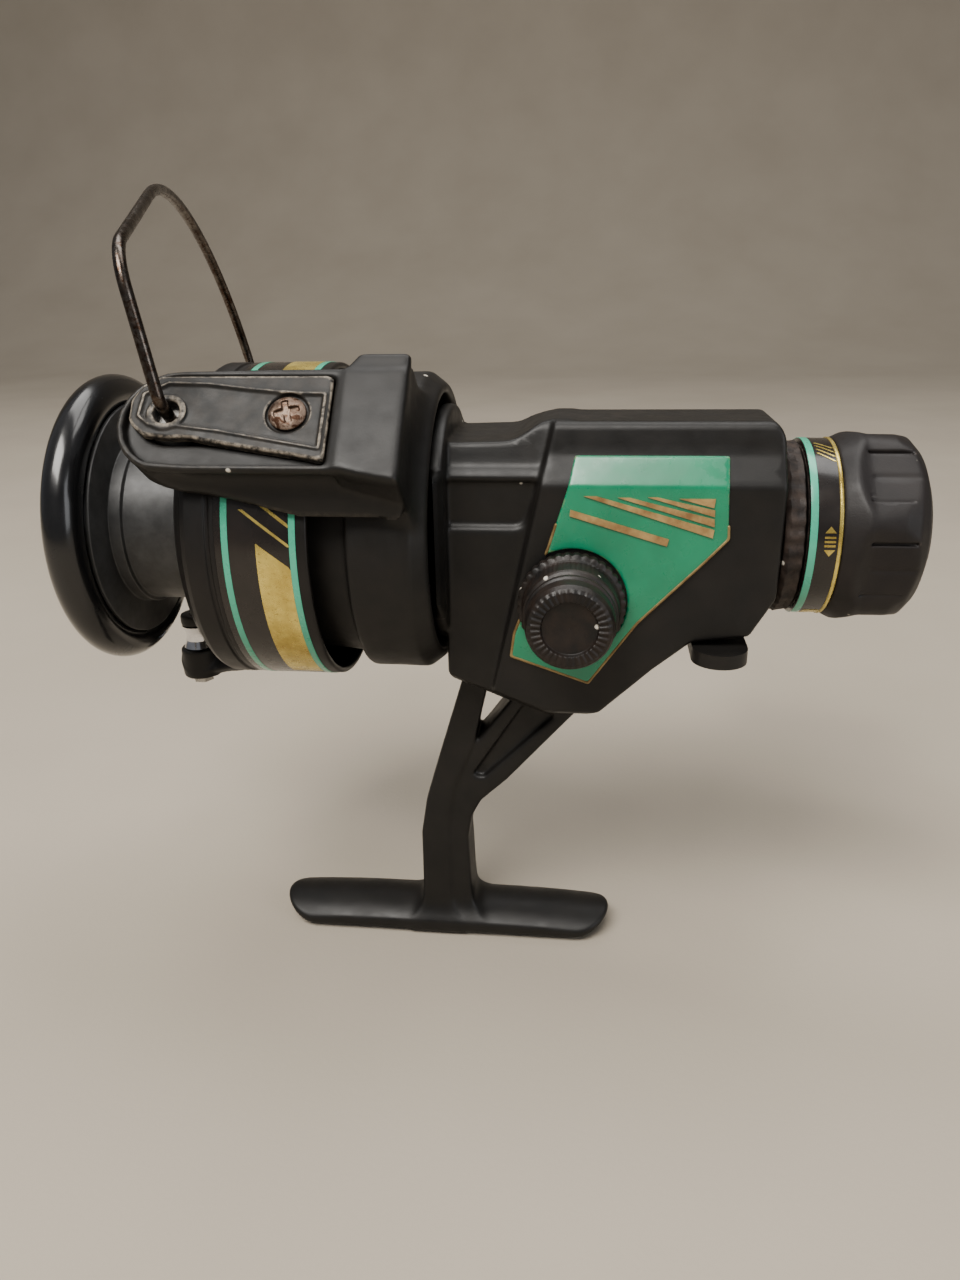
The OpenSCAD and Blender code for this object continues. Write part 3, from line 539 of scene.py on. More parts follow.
CHROME = metal("chrome", (226, 226, 228), (196, 196, 200), rough=(0.06, 0.14))
CORRODED = metal("corroded_steel", (150, 132, 118), (98, 80, 68), rough=(0.38, 0.62), pits=0.12,
                 rust=(70, 48, 36))
BRASS = metal("brass", (196, 158, 84), (160, 122, 60))
CAST = metal("die_cast", (150, 148, 144), (120, 118, 115), rough=(0.4, 0.55), pits=0.02, metallic=0.8)
ACETAL = plastic("acetal", (196, 188, 170), (210, 203, 186), wear_from=2)
FELT = plastic("felt", (92, 72, 54), (118, 96, 74), rough=(0.85, 0.95), grain=0.2, wear_from=2)

# ---- housing

NEAR_Y, COVER_Y, FAR_Y = -15.5, 12.5, 16.0
DIAGONAL = [(21.9, 15.9), (12.9, -25.3)]        # front edge of the raised side panel
HUMP_TOP = 20.2
NECK_TOP = 16.8


def ease(a, b, steps=7):
    """Points of an S-shaped step from a to b."""
    return [(a[0] + (b[0] - a[0]) * t, a[1] + (b[1] - a[1]) * t * t * (3 - 2 * t))
            for t in (k / steps for k in range(steps + 1))]


def arc(centre, radius, start, end, steps=8):
    """Points of an arc, angles in degrees."""
    return [(centre[0] + radius * math.cos(math.radians(start + (end - start) * k / steps)),
             centre[1] + radius * math.sin(math.radians(start + (end - start) * k / steps)))
            for k in range(steps + 1)]


CASE_LOW = [(61, -9), (57, -16), (47.4, -17.2), (40.8, -22.7), (30.1, -32.9), (16, -32.5), (4, -27.5)]
CASE_TOP = ease((14.5, NECK_TOP), (22.4, HUMP_TOP)) + arc((56.4, 16.4), 4.5, 90, 8, 6) + [(61.2, 10)]
CASE = [(4, NECK_TOP - 0.3)] + CASE_TOP + CASE_LOW
COVER_OUTLINE = [(9.7, 14.7), (18, 16.3), (24, 18.7), (56, 18.7), (59.1, 13), (59.5, -8), (56, -14.3),
                 (46.5, -15.3), (39.9, -20.9), (29.4, -30.9), (17, -30.7), (9.7, -26.1)]
PANEL_SECTION = [(NEAR_Y, -34), (NEAR_Y, 10.2), (-12.8, 15), (-11.9, HUMP_TOP - 0.7), (-10.9, HUMP_TOP),
                 (3, HUMP_TOP), (11, 18.6), (FAR_Y, 16.2), (FAR_Y, -34)]
NECK_SECTION = [(-13.4, -34), (-13.9, 1.4), (-13.9, 11.2), (-12.9, 12.4), (-11.9, 12.6), (-8.6, NECK_TOP),
                (4, NECK_TOP), (9.5, 15.6), (14.6, 11), (14.6, -34)]
NECK_HUMP = [(-12.4, 12.4), (-10.4, 19), (-9.6, HUMP_TOP), (3, HUMP_TOP), (11, 18), (14.6, 11)]
POCKET = [(0, 2.6)] + arc((16.2, 5.2), 2.6, 270, 350, 5) + [(20.4, 10.4), (0, 10.4)]
# x and z of each cover screw, and the near end of its post
COVER_BOLTS = [(13.5, 10.2, -11.2), (53.5, 15.5, -10.8), (49.5, -11.8, -13.5), (13.6, -26, -12)]
FRONT_STRUT = [(7.2, -24), (-0.6, -50), (-2.6, -57), (-3.9, -65), (-4, -77), (-4.6, -90), (2.4, -90),
               (1.9, -77), (1.9, -62), (3.6, -53), (7.4, -44), (12, -24)]
REAR_STRUT = [(0.8, -90), (0.8, -62), (3.2, -53), (7, -45), (15.9, -32.8), (20, -20), (44, -20), (41, -22),
              (30.4, -33.2), (14, -52), (8.6, -57.2), (6.6, -61), (5.8, -66), (6.2, -77), (7, -90)]
STRUT_POCKET = [(17.2, -35.4), (23.4, -37.4), (9.2, -51.6), (7, -51.2)]
FOOT_HALF, FOOT_HALF_WIDTH = 35.3, 7.2
FOOT_TOP_R, FOOT_SEAT_R = 10.7, 8.6
POST_R, PILOT_R = 2.6, 1.0                         # screw posts of the side cover and their pilot holes
BUSH_R = 5.2                                       # bore for a bush of the drive axle


def plane_distance(u, v, line):
    """Distance to the right of a line through two points, looking from the first to the second."""
    (u0, v0), (u1, v1) = line
    length = math.hypot(u1 - u0, v1 - v0)
    return ((u - u0) * (v1 - v0) - (v - v0) * (u1 - u0)) / length


def case_field(s):
    """Gear case: raised side panel with its bevel, and the neck in front of it."""
    front, top = DIAGONAL[0]
    panel = both(s.side(CASE), s.end(PANEL_SECTION),
                 plane_distance(s.x, s.z, DIAGONAL), np.where(s.z < top, -20, front - s.x))
    section = join(s.end(NECK_SECTION), s.end(NECK_HUMP), 1.0)
    neck = both(s.side(CASE), section, s.x - 26)
    pocket = both(s.side(POCKET), s.y + 12.9)
    case = join(panel, cut(neck, pocket, 0.8), 0.9)
    # bevel under the near side, which opens towards the rear strut
    under = -(s.z + 24 + 0.4 * np.clip(s.x - 4, 0, 18)) - 0.6 * (s.y - NEAR_Y)
    return both(case, 0.85 * under)


def strut_field(s):
    """Two struts that run together into the stem, with the pocket in the rear one."""
    front = both(s.side(FRONT_STRUT), np.abs(s.y) - 5.4)
    rear = both(s.side(REAR_STRUT), np.abs(s.y) - 4.7)
    stem = join(front, rear, 0.6)
    pocket = both(s.side(STRUT_POCKET), 3.4 - np.abs(s.y))
    return cut(stem, pocket, 0.5)


def foot_field(s):
    """Saddle-shaped foot with round ends, thinner towards its tips."""
    zr = s.z - SEAT
    r = np.hypot(s.y, zr)
    along = np.abs(s.x)
    thin = FOOT_TOP_R - 0.9 * np.clip((along - 12) / 24, 0, 1) ** 2
    plan = np.hypot(np.clip(along - (FOOT_HALF - FOOT_HALF_WIDTH), 0, None), s.y) - FOOT_HALF_WIDTH
    return both(r - thin, FOOT_SEAT_R - r, plan, -zr)


def housing():
    s = Space((-37, -17, SEAT + 2.5), (72, 17.5, 23), 0.38)
    body = join(case_field(s), strut_field(s), 1.6)
    body = join(body, foot_field(s), 3.4)
    body = cut(body, np.hypot(s.y, s.z - SEAT) - FOOT_SEAT_R)
    turned = [(2, 0), (2, 21.5), (4.6, 21.5), (4.6, 12.6), (9.4, 12.6), (9.4, 0)]
    body = join(body, s.turned(turned), 0.5)
    collar = [(50, 0), (50, 12), (56, 12), (56, 14.2), (61.3, 14.2), (61.3, 12), (70, 12), (70, 0)]
    body = join(body, s.turned(collar), 0.4)
    body = soften(body, 2)
    # recess of the side cover and the gear space behind it
    inset = s.side(COVER_OUTLINE)
    body = cut(body, both(inset - 0.35, COVER_Y - s.y))
    space = [(20, 10.5), (24, 14.5), (50, 14.5), (50, -12.6), (45.5, -14.4), (39, -19.8), (29, -29.6),
             (20, -29.5)]
    room = [(-13.3, -34), (-13.3, 7.8), (-10.4, 12.4), (-10.4, 15), (20, 15), (20, -34)]
    body = cut(body, both(s.side(space), s.end(room)))
    neck = [(9, 9.5), (20.1, 10.5), (20.1, -29.5), (17, -29.4), (9, -25)]
    body = cut(body, both(s.side(neck), -11.4 - s.y, s.y - 20))
    for bx, bz, near_end in COVER_BOLTS:
        post = np.hypot(s.x - bx, s.z - bz)
        body = join(body, both(post - POST_R, slab(s.y, near_end, COVER_Y)))
        body = cut(body, both(post - PILOT_R, slab(s.y, COVER_Y - 11, COVER_Y + 1)))
    # bores: bearing seat, pinion way, drag housing and the near bush
    front_bore = [(1, 0), (1, 12.1), (3.4, 12.1), (3.4, 9.5), (8.4, 9.5), (8.4, 6.4), (12, 6.4), (12, 0)]
    rear_bore = [(49, 0), (49, 5.25), (52, 5.25), (52, 10.2), (72, 10.2), (72, 0)]
    body = cut(cut(body, s.turned(front_bore)), s.turned(rear_bore))
    body = cut(body, both(s.from_drive() - BUSH_R, slab(s.y, NEAR_Y - 1, -12.5)))
    add_moulding("housing_shell", s, body, BODY, "body", ["housing"])


def side_cover():
    s = Space((7, 10, -33), (62, 20.5, 22), 0.36)
    plate = both(s.side(COVER_OUTLINE), s.end(PANEL_SECTION), COVER_Y + 0.05 - s.y)
    neck = both(plate, s.y - 14.4)
    raised = both(plate, plane_distance(s.x, s.z, DIAGONAL))
    body = join(neck, raised, 0.6)
    # shallow sunk field that follows the panel
    field = [(26.4, 12.6), (52, 12.6), (52.6, 0.4), (45, -8.7), (30.6, -24.2), (17.6, -20.6), (22.8, -0.4)]
    body = cut(body, both(s.side(field), FAR_Y - 0.5 - s.y), 0.4)
    reach = s.from_drive()
    body = join(body, both(reach - 9.1, slab(s.y, FAR_Y - 1.5, FAR_Y + 3)), 0.8)
    body = soften(body, 2)
    body = cut(body, reach - BUSH_R)
    for bx, bz, _ in COVER_BOLTS:
        hole = np.hypot(s.x - bx, s.z - bz)
        body = cut(body, both(hole - 2.3, FAR_Y - 1.5 - s.y))
        body = cut(body, hole - 1.15)
    add_moulding("side_cover_shell", s, body, BODY, "body", ["side_cover"])


# ---- badge

BADGE = [(26.7, 16), (51.8, 16), (51.8, 9), (52.2, 1.6), (48.6, -2.4), (37.8, -13.6), (29.6, -25.2),
         (15.8, -20.4), (16.4, -16), (22.2, -0.5), (25.4, 10)]
BADGE_T = 0.55                                     # thickness of the badge over the panel
STRIPES = [[(43.7, 8.4), (49.6, 8.4), (49.4, 6.9)],
           [(38.6, 8.6), (40.2, 8.6), (49.6, 6.5), (49.6, 5.4)],
           [(33.7, 8.5), (35.7, 8.5), (49.6, 5.0), (49.7, 3.7)],
           [(28.1, 8.7), (30.2, 8.7), (49.7, 3.2), (49.5, 1.8)],
           [(25.9, 6.4), (42.4, 1.5), (42.1, 0.3), (25.8, 5.3)]]


def badge():
    s = Space((13, -17, -27), (54, -10, 17), 0.2)
    field = s.side(BADGE)
    skin = s.end(PANEL_SECTION)
    plate = both(field, slab(skin, -0.3, BADGE_T), s.y + 12.6, s.z - 14.9)
    cap_gap = s.from_drive() - 9.5
    plate = cut(plate, cap_gap)
    add_moulding("badge_plate", s, soften(plate, 2), GREEN, "body", ["side_badge"], 0.002)
    # raised edge line along the lower sides
    rim = both(np.abs(field + 0.05) - 0.28, slab(skin, -0.2, BADGE_T + 0.1), s.z - 4)
    rim = cut(rim, cap_gap)
    add_moulding("badge_edge", s, soften(rim, 1), DULL_GOLD, "body", (), 0.002)
    points, faces = [], []
    face_y = NEAR_Y - BADGE_T
    for bar in STRIPES:
        n, first = len(bar), len(points)
        points += [(x, face_y + 0.1, z) for x, z in bar] + [(x, face_y - 0.24, z) for x, z in bar]
        faces += [tuple(range(first, first + n)), tuple(range(first + 2 * n - 1, first + n - 1, -1))]
        faces += [(first + (k + 1) % n, first + k, first + n + k, first + n + (k + 1) % n) for k in range(n)]
    add_piece("badge_bars", points, oriented(points, faces), BAR_GOLD, "body", ["badge_stripes"])


# ---- rotor

ROTOR_BASE = [(-14, 5), (-14, 19), (-26, 20.5), (-26, 23.2), (-10.6, 24.6), (-10.6, 26.4), (-9.9, 27.1),
              (0.2, 27.1), (3, 24.9), (3, 23.4), (-6, 23.4), (-7.4, 19), (-7.4, 13.4), (0.9, 13.4), (0.9, 5)]
ARM_OUTLINE = arc((-36.4, -1.2), 9.3, 90, 250, 10) + [(-34, -10.3), (-8.4, -10.4), (-6.7, -10.9),
                                                   (0.6, -12.3), (0.6, 11.2), (-7.6, 11.2), (-9.6, 8.4)]
FLANK_OUTLINE = [(-45.4, 3), (-45.4, -5), (-41.3, -8.3), (-36.5, -10), (-31, -10.7), (-24, -12),
                 (-18.5, -13.4), (-14.2, -15), (-11, -17.6), (-8.5, -21), (0, -21), (0, 21), (-8.5, 21),
                 (-11, 17.6), (-14.2, 15), (-18.5, 13.4), (-31, 10), (-40, 8)]
SCREW_X = -18.0                                    # screw of the arm's cover
RECESS = arc((-36.4, -1.2), 8.1, 95, 245, 8) + [(-33, -9.1), (-11, -9.1), (-11, 6.6)]


def arm_field(s, far):
    """One rotor arm: top plate, channelled sides, flank towards the base and the block at its root."""
    across, out = arm_fields(s, far)
    top = swept(s.x, across, ARM_OUTLINE)
    plate = both(top, slab(out, 33.8, ARM_TOP))
    core = both(top + 1.1, slab(out, 26, ARM_TOP - 0.4))
    flank = both(swept(s.x, across, FLANK_OUTLINE), SKIRT_R + 0.55 - s.radius,
                 s.radius - 31.9 + 0.42 * np.clip(np.abs(across) - 9.5, 0, None), -out)
    arm = join(join(plate, core, 1.2), flank, 1.6)
    # block with chamfered long edges and a sloping rear
    block = both(top + 0.1, slab(out, 24, ARM_TOP + 0.5), -9.7 - s.x, s.x - 0.9,
                 (across * 0.78 + (out - 36.1) * 0.63) - 6.0,
                 (s.x - 0.3) * 0.96 + (out - 36.1) * 0.28)
    arm = join(arm, block, 0.3)
    arm = both(arm, (s.x - 0.9) * 0.8 + (s.radius - 36.9) * 0.6)
    if not far:
        recess = both(swept(s.x, across, RECESS), 33.9 - out)
        arm = cut(arm, recess, 0.3)
        slot = both(np.hypot(s.x - np.clip(s.x, BAIL_X, -16), across) - 4.6, 31.1 - out)
        return cut(arm, slot)
    # way of the lever's web as the bail opens
    swing = np.hypot(s.x - BAIL_X, across)
    return cut(arm, both(slab(swing, 13.2, 21.2), slab(out, 28.1, 33), 8.7 - across))


def rotor():
    s = Space((-47, -38, -38), (4.2, 38, 38), 0.38)
    body = s.turned(ROTOR_BASE)
    for far in (False, True):
        body = join(body, arm_field(s, far), 2.6)
    # way of the skirt and the hollow that covers the bearing plate
    way = [(-60, 0), (-60, SKIRT_R + 0.55), (-3.2, SKIRT_R + 0.55), (-3.2, 27.2), (-10.6, 27.2),
           (-10.6, 24.6), (-26, 23.2), (-26, 20.5), (-27, 20.5), (-27, 0)]
    body = cut(body, s.turned(way), 0.4)
    body = cut(body, s.turned([(-6, 12), (-6, 23.4), (5, 23.4), (5, 12)]))
    body = cut(body, s.radius - 5)
    body = both(body, s.x - 3)
    body = soften(body, 2)
    across, out = arm_fields(s)
    seat = np.hypot(s.x - SCREW_X, across)
    post = both(seat - 2.4, slab(out, 30.2, 34.4))
    hole = both(seat - 1, 30.6 - out)
    body = cut(join(body, post), hole)
    far_across, far_out = arm_fields(s, True)
    body = cut(body, both(np.hypot(s.x - BAIL_X, far_across) - 1.6, 28 - far_out))
    add_moulding("rotor_shell", s, body, ROTOR, "rotor_unit", ["rotor"])


COVER_EDGE = [(-43.9, 2.6), (-43.7, -1.0), (-42.9, -2.3), (-40.9, -3.9), (-36.7, -4.4), (-33.2, -4.4),
              (-29.7, -5.2), (-23.4, -6.3), (-16.3, -7.5), (-11.6, -8.4), (-11.3, -8), (-11.3, 6.4),
              (-12.2, 7), (-39.4, 7), (-42.4, 5.4)]
COVER_INNER = [(-40, -2.3), (-34.7, -2.6), (-28.6, -3.4), (-21.3, -4.8), (-12.2, -6.5), (-12.2, 3.4),
               (-17.8, 3.6), (-25.1, 4.4), (-31.5, 5.3), (-38, 5.5), (-41.8, 3.4), (-42, -0.6)]


def arm_cover():
    """Worn cover plate of the near arm, with its rubbed ridges, the wire hole and the sunk screw seat."""
    corners = [from_arm(x, a, o) for x in (-45, -10.4) for a in (-9.2, 7.8) for o in (33.6, 36.4)]
    s = Space(np.min(corners, 0), np.max(corners, 0), 0.19)
    across, out = arm_fields(s)
    edge = swept(s.x, across, COVER_EDGE)
    inner = swept(s.x, across, COVER_INNER)
    bevel = both(edge, slab(out, 33.95, 36.0), edge * 0.55 + (out - 35.35) * 0.83)
    ridge = both(np.abs(inner) - 0.22, slab(out, 34.2, 35.98))
    plate = join(both(bevel, out - 35.62), both(ridge, edge), 0.25)
    plate = cut(plate, both(inner + 0.5, 35.42 - out), 0.2)
    hole = np.hypot(s.x - BAIL_X, across)
    lip = both(np.abs(hole - 2.7) - 0.55, out - 35.95, 34 - out)
    plate = join(plate, lip, 0.3)
    plate = cut(plate, hole - 1.95)
    seat = np.hypot(s.x - SCREW_X, across)
    plate = cut(plate, both(seat - 3.5, 34.9 - out), 0.15)
    plate = cut(plate, seat - 1.3)
    add_moulding("arm_cover_plate", s, soften(plate, 1), WORN, "rotor_unit", ["arm_cover"],
                 0.002)


def screw_head(name, origin, outward, across, radius, height, material, body, stands_for, step=0.12):
    """Domed cross-head screw head with its shank, as a small moulding."""
    outward, across = unit(outward), unit(across)
    third = np.cross(outward, across)
    origin = np.array(origin, float)
    s = Space((-radius - 0.6, -radius - 0.6, -3.8), (radius + 0.6, radius + 0.6, height + 0.8), step)
    r = np.hypot(s.x, s.y)
    ball = radius * 1.6
    dome = both(np.sqrt(r * r + (s.z + ball - height) ** 2) - ball, slab(s.z, 0, height), r - radius)
    shank = both(r - radius * 0.32, slab(s.z, -3.6, 0.3))
    arms = np.minimum(both(np.abs(s.x) - radius * 0.16, np.abs(s.y) - radius * 0.66),
                      both(np.abs(s.y) - radius * 0.16, np.abs(s.x) - radius * 0.66))
    head = cut(dome, both(arms, height * 0.32 - s.z), 0.1)
    points, faces, normals, wear = skin_of(s, soften(join(head, shank), 1), 0.002, 0.6)
    turn = np.stack([across, third, outward], 0)
    add_piece(name, points @ turn + origin, faces, material, body, stands_for, normals @ turn, wear)


# ---- bail

BAIL_LEAN = math.radians(15.1)                     # of the wire's plane towards the front
SHOULDER = (51.6, 18.6)                            # corner of the wire: along the hinge line, and up from it
ARCH_CENTRE, ARCH_R, BEND_R = 27.9, 39.5, 9.0      # arch between the shoulders, and the bends at them
WIRE_R = 1.0
ROLLER = np.array([-56.6, 17.0, 0.0])              # axis of the line roller, which runs along z
KNOB_AT = np.array([-56.8, 19.6, -36.6])           # end of the wire in the lever's knob
LEVER_OUT = ARM_TOP + 0.35                         # inner face of the roller lever
ELBOW = (-47.5, 12.5)                              # bend of the lever: x, and across the arm


def wire_point(along, up):
    """Point of the wire's plane, in the axis frame."""
    return from_arm(BAIL_X - up * math.sin(BAIL_LEAN), up * math.cos(BAIL_LEAN), along)


def bend(a, c, b, radius, steps):
    """Arc that rounds the corner c between a and b."""
    u, v = unit(a - c), unit(b - c)
    half = math.acos(float(u @ v)) / 2
    centre = c + unit(u + v) * radius / math.sin(half)
    run = radius / math.tan(half)
    s, e = unit(c + u * run - centre), unit(c + v * run - centre)
    turn = math.pi - 2 * half
    return [centre + radius * (s * math.sin(turn - a) + e * math.sin(a)) / math.sin(turn)
            for a in (turn * k / steps for k in range(steps + 1))]


def bail_wire():
    drop = (SHOULDER[0], SHOULDER[1] - ARCH_CENTRE)
    lean = math.atan2(drop[1], drop[0]) + math.acos(ARCH_R / math.hypot(*drop))
    peak = ARCH_CENTRE + ARCH_R / math.sin(lean)
    corners = [from_arm(BAIL_X, 0, 32.2), from_arm(BAIL_X, 0, 38.6), wire_point(*SHOULDER),
               wire_point(0, peak), wire_point(-SHOULDER[0], SHOULDER[1]), KNOB_AT + [0, 4.4, 1.6], KNOB_AT]
    line = [corners[0]]
    for i, (radius, steps) in enumerate([(2.4, 10), (BEND_R, 16), (ARCH_R, 60), (BEND_R, 16), (5, 10)]):
        line += bend(corners[i], corners[i + 1], corners[i + 2], radius, steps)
    points, faces = tube_along(line + [corners[-1]], WIRE_R)
    add_piece("bail_wire_bent", points, oriented(points, faces), WIRE, "bail", ["bail_wire"],
              crease=60)


def roller_lever():
    s = Space((-63, 3, -43), (-30, 36, -22), 0.26)
    across, out = arm_fields(s, True)
    x, y, z = s.x, s.y, s.z

    def bar(a, b, wa, wb):
        """Tapered bar between two round ends in the lever's plane."""
        d = np.array(b) - np.array(a)
        t = np.clip(((x - a[0]) * d[0] + (across - a[1]) * d[1]) / float(d @ d), 0, 1)
        return np.hypot(x - a[0] - t * d[0], across - a[1] - t * d[1]) - (wa + (wb - wa) * t)

    plan = join(bar((BAIL_X, 0), ELBOW, 6, 4.9), bar(ELBOW, (ROLLER[0], 15.5), 4.9, 4.2), 2.0)
    plate = both(plan, slab(out, LEVER_OUT, LEVER_OUT + 2.6))
    web = both(slab(x, -54.4, -50.2), slab(across, 5, 12), slab(out, 28.6, LEVER_OUT + 0.6))
    about = np.hypot(x - ROLLER[0], y - ROLLER[1])
    body = join(plate, web, 0.8)
    body = cut(body, both(about - 3.9, slab(z, -33.4, -28)))
    knob = both(about - 4.0, slab(z, -40, -33.4))
    cheek = both(about - 3.3, slab(z, -28, -25.6))
    tongue = both(slab(x, ROLLER[0], ROLLER[0] + 6.2), slab(y, ROLLER[1] - 1.5, ROLLER[1] + 3),
                  slab(z, -27.9, -25.9))
    body = join(join(body, knob, 0.8), join(cheek, tongue, 0.6), 0.5)
    body = soften(body, 2)
    body = cut(body, about - 1.2)
    body = cut(body, both(np.hypot(x - BAIL_X, across) - 2.05, 30 - out))
    add_moulding("roller_lever_arm", s, body, ROTOR, "bail", ["roller_lever"])


# ---- spool


def spool():
    barrel = [(-63, 3.6), (-63, 7), (-62, 8.4), (-62, 13), (-58.6, 13), (-57.2, 20), (-57.2, 21.8),
              (-56.4, 21.8), (-56, 15.9), (-53.8, 15.9), (-53.6, 15.2), (-39.5, 15.2), (-39.5, 24.2),
              (-38.3, 24.2), (-38.3, 13.4), (-54, 13.4), (-54, 7), (-40, 7), (-40, 2.3), (-59, 2.3), (-59, 3.6)]
    add_turned("spool_barrel", barrel, DRUM, "spool_unit", ["spool"])
    ring = arc((-60.2, 23.6), 3.4, -62, 232, 40)
    front = [(-62.9, 20.2), (-62, 16), (-62, 13.2), (-58.6, 13.2), (-57.3, 20)]
    points, faces = lathed(ring + front, about_shaft, 160)
    add_piece("spool_lip_ring", points, oriented(points, faces), GLOSS, "spool_unit",
              ["spool_lip"])
    skirt = [(-40.4, 15.4), (-40.4, 23.6), (-39.2, 26), (-37.3, 28.4), (-36.4, SKIRT_R), (-33.2, SKIRT_R),
             (-33.0, SKIRT_R - 0.35), (-32.4, SKIRT_R - 0.35), (-32.2, SKIRT_R - 0.05),
             (-31.4, SKIRT_R - 0.05), (-31.4, SKIRT_R - 0.3), (-18.6, SKIRT_R - 0.3), (-18.6, SKIRT_R - 0.05),
             (-16, SKIRT_R - 0.1), (-16, 27.7), (-36.2, 27.7), (-38.3, 24.4), (-39.6, 24.4), (-39.6, 15.4)]
    add_turned("spool_skirt_shell", skirt, SKIRT, "spool_unit", ["spool_skirt"], edge=0.5)
    band = [(-31.4, SKIRT_R - 0.25), (-31.4, SKIRT_R), (-18.6, SKIRT_R), (-18.6, SKIRT_R - 0.25)]
    add_turned("skirt_label", band, BAND, "spool_unit", ["skirt_band"], edge=0.05)
    for name, start in (("stripe_front", -30.2), ("stripe_rear", -18.9)):
        line = [(start, SKIRT_R - 0.1), (start, SKIRT_R + 0.05), (start + 1.1, SKIRT_R + 0.05),
                (start + 1.1, SKIRT_R - 0.1)]
        add_turned(name, line, GREEN_LINE, "spool_unit", edge=0.04)
    gold_marks()
    button = [(-65, 0), (-65, 2.6), (-64.4, 3.4), (-61.9, 3.5), (-61.9, 0)]
    add_turned("release_button", button, SKIRT, "button", ["spool_button"], edge=0.3)


MARK_LEFT, MARK_RIGHT = -24.5, -18.9               # sides of the gold block along the skirt
# first angle, width, lowest and highest angle of each bar above the block
SLANTED_BARS = [(13.4, 0.75, 5.6, 17.4), (19.8, 0.85, 11.8, 21.5), (24.6, 1.4, 16.6, 22.5)]
MARK_SLOPE = -1.47                                 # degrees round the skirt for each millimetre along it


def patch(edges, turn_from, turn_to, radius, rows):
    """Thin sheet round the spool axis between two edges, which are functions of the angle in degrees."""
    points, faces = [], []
    thick = 0.05
    for layer in (radius, radius + thick):
        for i in range(rows + 1):
            a = turn_from + (turn_to - turn_from) * i / rows
            left, right = edges(a)
            for t in (0, 0.5, 1):
                points.append(about_shaft(left + (right - left) * t, layer, math.radians(a)))
    n = (rows + 1) * 3
    for i in range(rows):
        for k in range(2):
            a, b, c, d = i * 3 + k, i * 3 + k + 1, (i + 1) * 3 + k + 1, (i + 1) * 3 + k
            faces += [(a, b, c, d), (n + a, n + d, n + c, n + b)]
    rim = [i * 3 for i in range(rows + 1)] + [rows * 3 + 1, rows * 3 + 2]
    rim += [i * 3 + 2 for i in range(rows - 1, -1, -1)] + [1]
    for a, b in zip(rim, rim[1:] + rim[:1]):
        faces.append((a, b, n + b, n + a))
    return points, faces


def gold_marks():
    """Gold foil block with a slanted end and slanted bars above it, repeated round the label."""
    points, faces = [], []

    def slanted(first, width):
        """Bar along the slant: its lower edge starts at angle first on the left side."""
        def edges(a):
            low = MARK_LEFT + (a - first) / MARK_SLOPE
            return (max(low, -27.3), min(low + width, MARK_RIGHT))
        return edges

    for turn in (0, 120, 240):
        def block(a, turn=turn):
            return (MARK_LEFT, min(MARK_RIGHT, MARK_LEFT + 0.05 + (6.6 + turn - a) / -MARK_SLOPE))
        merge(points, faces, patch(block, turn - 58, turn + 6.5, SKIRT_R + 0.01, 60))
        for first, width, low, high in SLANTED_BARS:
            edges = slanted(first + turn, width)
            merge(points, faces, patch(edges, low + turn, high + turn, SKIRT_R + 0.01, 14))
    add_piece("skirt_marks", points, faces, GOLD, "spool_unit")


# ---- drag

KNOB_FRONT, KNOB_REAR = 70.6, 86.9


def drag_knob():
    s = Space((64.4, -18.2, -18.2), (89.6, 18.2, 18.2), 0.24)
    profile = [(KNOB_FRONT, 0), (KNOB_FRONT, 15.5), (72.4, 16.4), (74.4, 17.3), (80.2, 17), (82.8, 16),
               (84.7, 14), (86, 11), (86.7, 8), (KNOB_REAR, 0)]
    knob = s.turned(profile)
    angle = np.arctan2(s.z, -s.y) + math.radians(14)
    sixth = math.pi / 3
    lobe = (angle + sixth / 2) % sixth - sixth / 2        # from the middle of a scoop
    depth = s.radius * np.cos(lobe) - (15.5 + 0.34 * np.clip(75.6 - s.x, 0, 9) ** 1.25)
    knob = cut(knob, both(-depth, 72.0 - s.x), 0.5)
    rim = s.radius * np.sin(np.abs(lobe))
    groove = both(np.hypot(rim, s.radius - 15.7) - 0.5, slab(s.x, 75.6, 90))
    knob = cut(knob, groove, 0.2)
    knob = soften(knob, 2)
    lines = None
    for k in range(4):
        turn = (angle + math.radians(12 + 30)) % sixth - sixth / 2 + math.radians(3.4) * (k - 1.5)
        line = np.abs(s.radius * np.sin(turn)) - 0.17
        lines = line if lines is None else np.minimum(lines, line)
    knob = cut(knob, both(lines, slab(s.x, 74.6, 81.6), 16 - s.radius), 0.1)
    turn = (angle - math.radians(18) + sixth / 2) % sixth - sixth / 2
    knob = cut(knob, both(np.abs(s.radius * np.sin(turn)) - 0.3, slab(s.x, 75, 82.4), 15.6 - s.radius), 0.2)
    band_seat = [(65.2, 10.3), (65.2, 14.55), (70.7, 14.55), (70.7, 10.3)]
    room = [(64, 0), (64, 10.3), (70.6, 10.3), (70.6, 9.4), (84.4, 9.4), (84.4, 0)]
    hub = [(64.8, 0), (64.8, 6), (85.9, 6), (85.9, 0)]
    shaft_room = [(60, 0), (60, 3.4), (85.4, 3.4), (85.4, 0)]
    knob = cut(join(knob, s.turned(band_seat)), s.turned(room))
    knob = cut(join(knob, s.turned(hub)), s.turned(shaft_room))
    add_moulding("drag_knob_grip", s, knob, KNOB, "drag_knob_unit", ["drag_knob"], 0.003)


